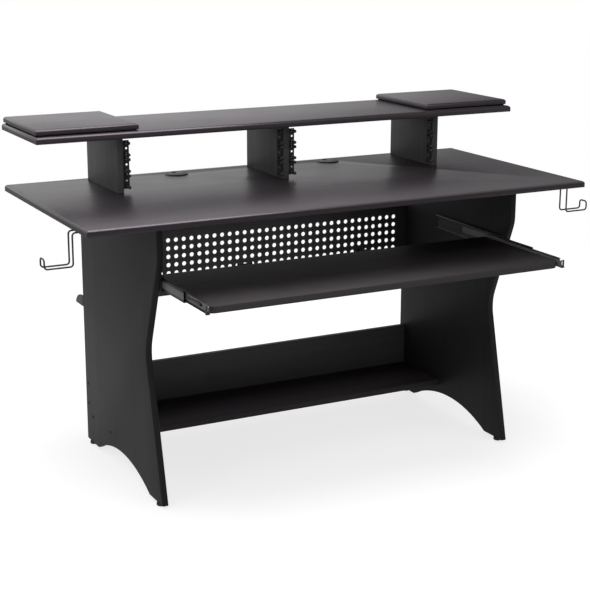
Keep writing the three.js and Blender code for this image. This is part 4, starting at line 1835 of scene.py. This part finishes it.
@dataclass
class BoardScrews:
    """The socket screws that show on the outside of the side panels."""

    screw: ScrewHead = ScrewHead(0.0048, 0.0006)
    shelf_shares: tuple[float, float] = (0.185, 0.815)
    board_heights: tuple[float, float] = (0.124, 0.184)

    def build(self) -> None:
        """Makes the screws of the foot shelf and the back board."""
        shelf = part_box("foot_shelf")
        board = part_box("lower_back_board")
        depth = shelf[1].y - shelf[0].y
        level = (shelf[0].z + shelf[1].z) / 2
        places = [(shelf[0].y + share * depth, level) for share in self.shelf_shares]
        places += [((board[0].y + board[1].y) / 2, z) for z in self.board_heights]
        for name, side in SIDES.items():
            low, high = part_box(f"side_panel_{name}")
            face = high.x if side > 0 else low.x
            spots = [Vector((face, y, z)) for y, z in places]
            self.screw.place(f"panel_screws_{name}", spots, Axis.X, side, PLUG)


# Studio


def radians(degrees: Point) -> Point:
    """A pair of angles in radians."""
    return (math.radians(degrees[0]), math.radians(degrees[1]))


@dataclass(frozen=True)
class Lamp:
    """A soft square lamp."""

    name: str
    place: tuple[float, float, float]
    target: tuple[float, float, float]
    size: float
    power: float
    mirrored: bool = False

    def hang(self) -> None:
        """Hangs the lamp at its place, turned to its target."""
        light = bpy.data.lights.new(self.name, "AREA")
        light.shape = "SQUARE"
        light.size = self.size
        light.energy = self.power
        lamp = bpy.data.objects.new(self.name, light)
        lamp.location = self.place
        way = Vector(self.target) - Vector(self.place)
        lamp.rotation_euler = way.to_track_quat("-Z", "Y").to_euler()
        lamp.visible_glossy = self.mirrored
        bpy.context.scene.collection.objects.link(lamp)


@dataclass
class Studio:
    """The floor, the backdrop, the lamps and the camera."""

    camera_place: tuple[float, float, float] = (-1.8520, -3.45315, 1.50986)
    camera_yaw: float = 27.47
    camera_pitch: float = -14.85
    camera_roll: float = 0.15
    lens: float = 87.19
    sensor: float = 36.0
    lamps: tuple[Lamp, ...] = (
        Lamp("key_lamp", (-4.0, -1.3, 1.4), (0.0, 0.0, 0.5), size=2.0, power=26.0),
        Lamp("fill_lamp", (3.2, -2.8, 2.2), (0.0, 0.0, 0.6), size=2.6, power=8.0),
        Lamp("low_lamp", (0.3, -3.6, 0.7), (0.0, 0.0, 0.2), size=1.6, power=11.0),
        Lamp("top_lamp", (-0.2, -0.3, 3.4), (-0.2, 0.0, 0.6), size=2.4, power=95.0, mirrored=True),
    )
    floor_tone: float = 0.7
    floor_vary: float = 0.02
    floor_cloud_scale: float = 1.4
    floor_roughness: float = 0.8
    floor_seen_tone: float = 0.36
    floor_glow: float = 0.74
    floor_near: float = 1.4
    floor_far: float = 3.2
    floor_half: float = 60.0
    floor_mirrored: float = 0.45
    fill: float = 0.8
    side_degrees: tuple[float, float] = (20.0, 43.0)
    behind_degrees: tuple[float, float] = (90.0, 150.0)
    dimmed: float = 0.15
    front_degrees: tuple[float, float] = (105.0, 145.0)
    front_heights: tuple[float, float] = (0.8, 0.35)
    front_dimmed: float = 0.35

    def build(self) -> None:
        """Sets up the floor, the light and the camera."""
        self.floor()
        self.world()
        for lamp in self.lamps:
            lamp.hang()
        self.camera()
        bpy.context.scene.view_settings.view_transform = "Standard"

    def floor(self) -> None:
        """Lays a pale floor that shows the desk's soft shadow and is white to the camera elsewhere."""
        half = self.floor_half
        corners = [(-half, -half, 0), (half, -half, 0), (half, half, 0), (-half, half, 0)]
        mesh = bpy.data.meshes.new("floor")
        mesh.from_pydata(corners, [], [(0, 1, 2, 3)])
        floor = bpy.data.objects.new("floor", mesh)
        bpy.context.scene.collection.objects.link(floor)
        made = bpy.data.materials.new("studio_floor")
        made.use_nodes = True
        tree = Tree(made.node_tree)
        place = tree.add("ShaderNodeTexCoord").outputs["Object"]
        away = tree.add("ShaderNodeVectorMath", {0: place}, operation="LENGTH").outputs["Value"]
        far = tree.remap(away, (self.floor_near, self.floor_far))
        seen = self.seen(tree)
        path = tree.add("ShaderNodeLightPath").outputs
        mirrored = tree.remap(path["Is Glossy Ray"], (0.0, 1.0), (1.0, self.floor_mirrored))
        clouds = tree.noise(place, self.floor_cloud_scale, detail=3.0, roughness=0.5)
        tone = tree.blend(clouds, shade(self.floor_tone), shade(self.floor_tone + self.floor_vary))
        shown = tree.blend(far, shade(self.floor_seen_tone), shade(0.0))
        glow = tree.math("MULTIPLY", seen, tree.remap(far, (0.0, 1.0), (self.floor_glow, 1.0)))
        glow = tree.math("MULTIPLY", glow, mirrored)
        shader = tree.add(
            "ShaderNodeBsdfPrincipled",
            {
                "Base Color": tree.blend(seen, tone, shown),
                "Roughness": self.floor_roughness,
                "Specular IOR Level": 0.0,
                "Emission Color": WHITE,
                "Emission Strength": glow,
            },
        )
        tree.add("ShaderNodeOutputMaterial", {"Surface": shader.outputs[0]})
        mesh.materials.append(made)

    def seen(self, tree: Tree) -> bpy.types.NodeSocket:
        """Tells rays that the camera, a gloss or a glass sends out from those that light things.

        Args:
            tree: the tree of the floor or the world.

        Returns:
            A socket that is 1 for such a ray and 0 for the rest.
        """
        path = tree.add("ShaderNodeLightPath").outputs
        sent = tree.math("MAXIMUM", path["Is Camera Ray"], path["Is Glossy Ray"])
        return tree.math("MAXIMUM", sent, path["Is Transmission Ray"])

    def world(self) -> None:
        """Fills the studio with white that the camera and reflections see, and that lights a little less."""
        world = bpy.data.worlds.new("studio")
        bpy.context.scene.world = world
        world.use_nodes = True
        tree = Tree(world.node_tree)
        sky = tree.add("ShaderNodeTexCoord").outputs["Generated"]
        way = tree.add("ShaderNodeSeparateXYZ", {0: sky}).outputs
        bearing = tree.math("ARCTAN2", way[0], way[1])
        dim = tree.remap(bearing, radians(self.side_degrees), (1.0, self.dimmed))
        behind = tree.remap(bearing, radians(self.behind_degrees), (0.0, 1.0 - self.dimmed))
        dim = tree.math("ADD", dim, behind)
        path = tree.add("ShaderNodeLightPath").outputs
        front = tree.remap(tree.math("ABSOLUTE", bearing), radians(self.front_degrees))
        front = tree.math("MULTIPLY", front, tree.remap(way[2], self.front_heights))
        dim = tree.math("MULTIPLY", dim, tree.remap(front, (0.0, 1.0), (1.0, self.front_dimmed)))
        dim = tree.math("MAXIMUM", path["Is Camera Ray"], dim)
        strength = tree.remap(self.seen(tree), (0.0, 1.0), (self.fill, 1.0))
        strength = tree.math("MULTIPLY", strength, dim)
        back = tree.add("ShaderNodeBackground", {"Color": WHITE, "Strength": strength})
        tree.add("ShaderNodeOutputWorld", {"Surface": back.outputs[0]})

    def camera(self) -> None:
        """Sets the camera at the photograph's place and angle."""
        yaw = math.radians(self.camera_yaw)
        pitch = math.radians(self.camera_pitch)
        roll = math.radians(self.camera_roll)
        level = math.cos(pitch)
        ahead = Vector((math.sin(yaw) * level, math.cos(yaw) * level, math.sin(pitch)))
        right = Vector((math.cos(yaw), -math.sin(yaw), 0.0))
        up = right.cross(ahead)
        rolled = (right * math.cos(roll) + up * math.sin(roll), up * math.cos(roll) - right * math.sin(roll))
        turn = Matrix((rolled[0], rolled[1], -ahead)).transposed()
        data = bpy.data.cameras.new("photo_camera")
        data.sensor_fit = "HORIZONTAL"
        data.sensor_width = self.sensor
        data.lens = self.lens
        camera = bpy.data.objects.new("photo_camera", data)
        camera.matrix_world = Matrix.Translation(self.camera_place) @ turn.to_4x4()
        bpy.context.scene.collection.objects.link(camera)
        bpy.context.scene.camera = camera


def clear_startup() -> None:
    """Removes the objects that Blender starts with."""
    known = set(frame["nodes"].values()) | set(frame["bodies"].values())
    for thing in list(bpy.data.objects):
        if thing not in known:
            bpy.data.objects.remove(thing)


def main() -> None:
    """Builds the desk's pieces in order and then the studio."""
    logging.basicConfig(level=logging.INFO, format="%(name)s: %(message)s")
    clear_startup()
    for assembly in (
        Boards(),
        PerforatedSheet(),
        CableTray(),
        RackRails(),
        SideHooks(),
        Grommets(),
        Glides(),
        Slides(),
        Brackets(),
        BoardScrews(),
        Studio(),
    ):
        log.info("building %s", type(assembly).__name__)
        assembly.build()


if __name__ == "__main__":
    main()
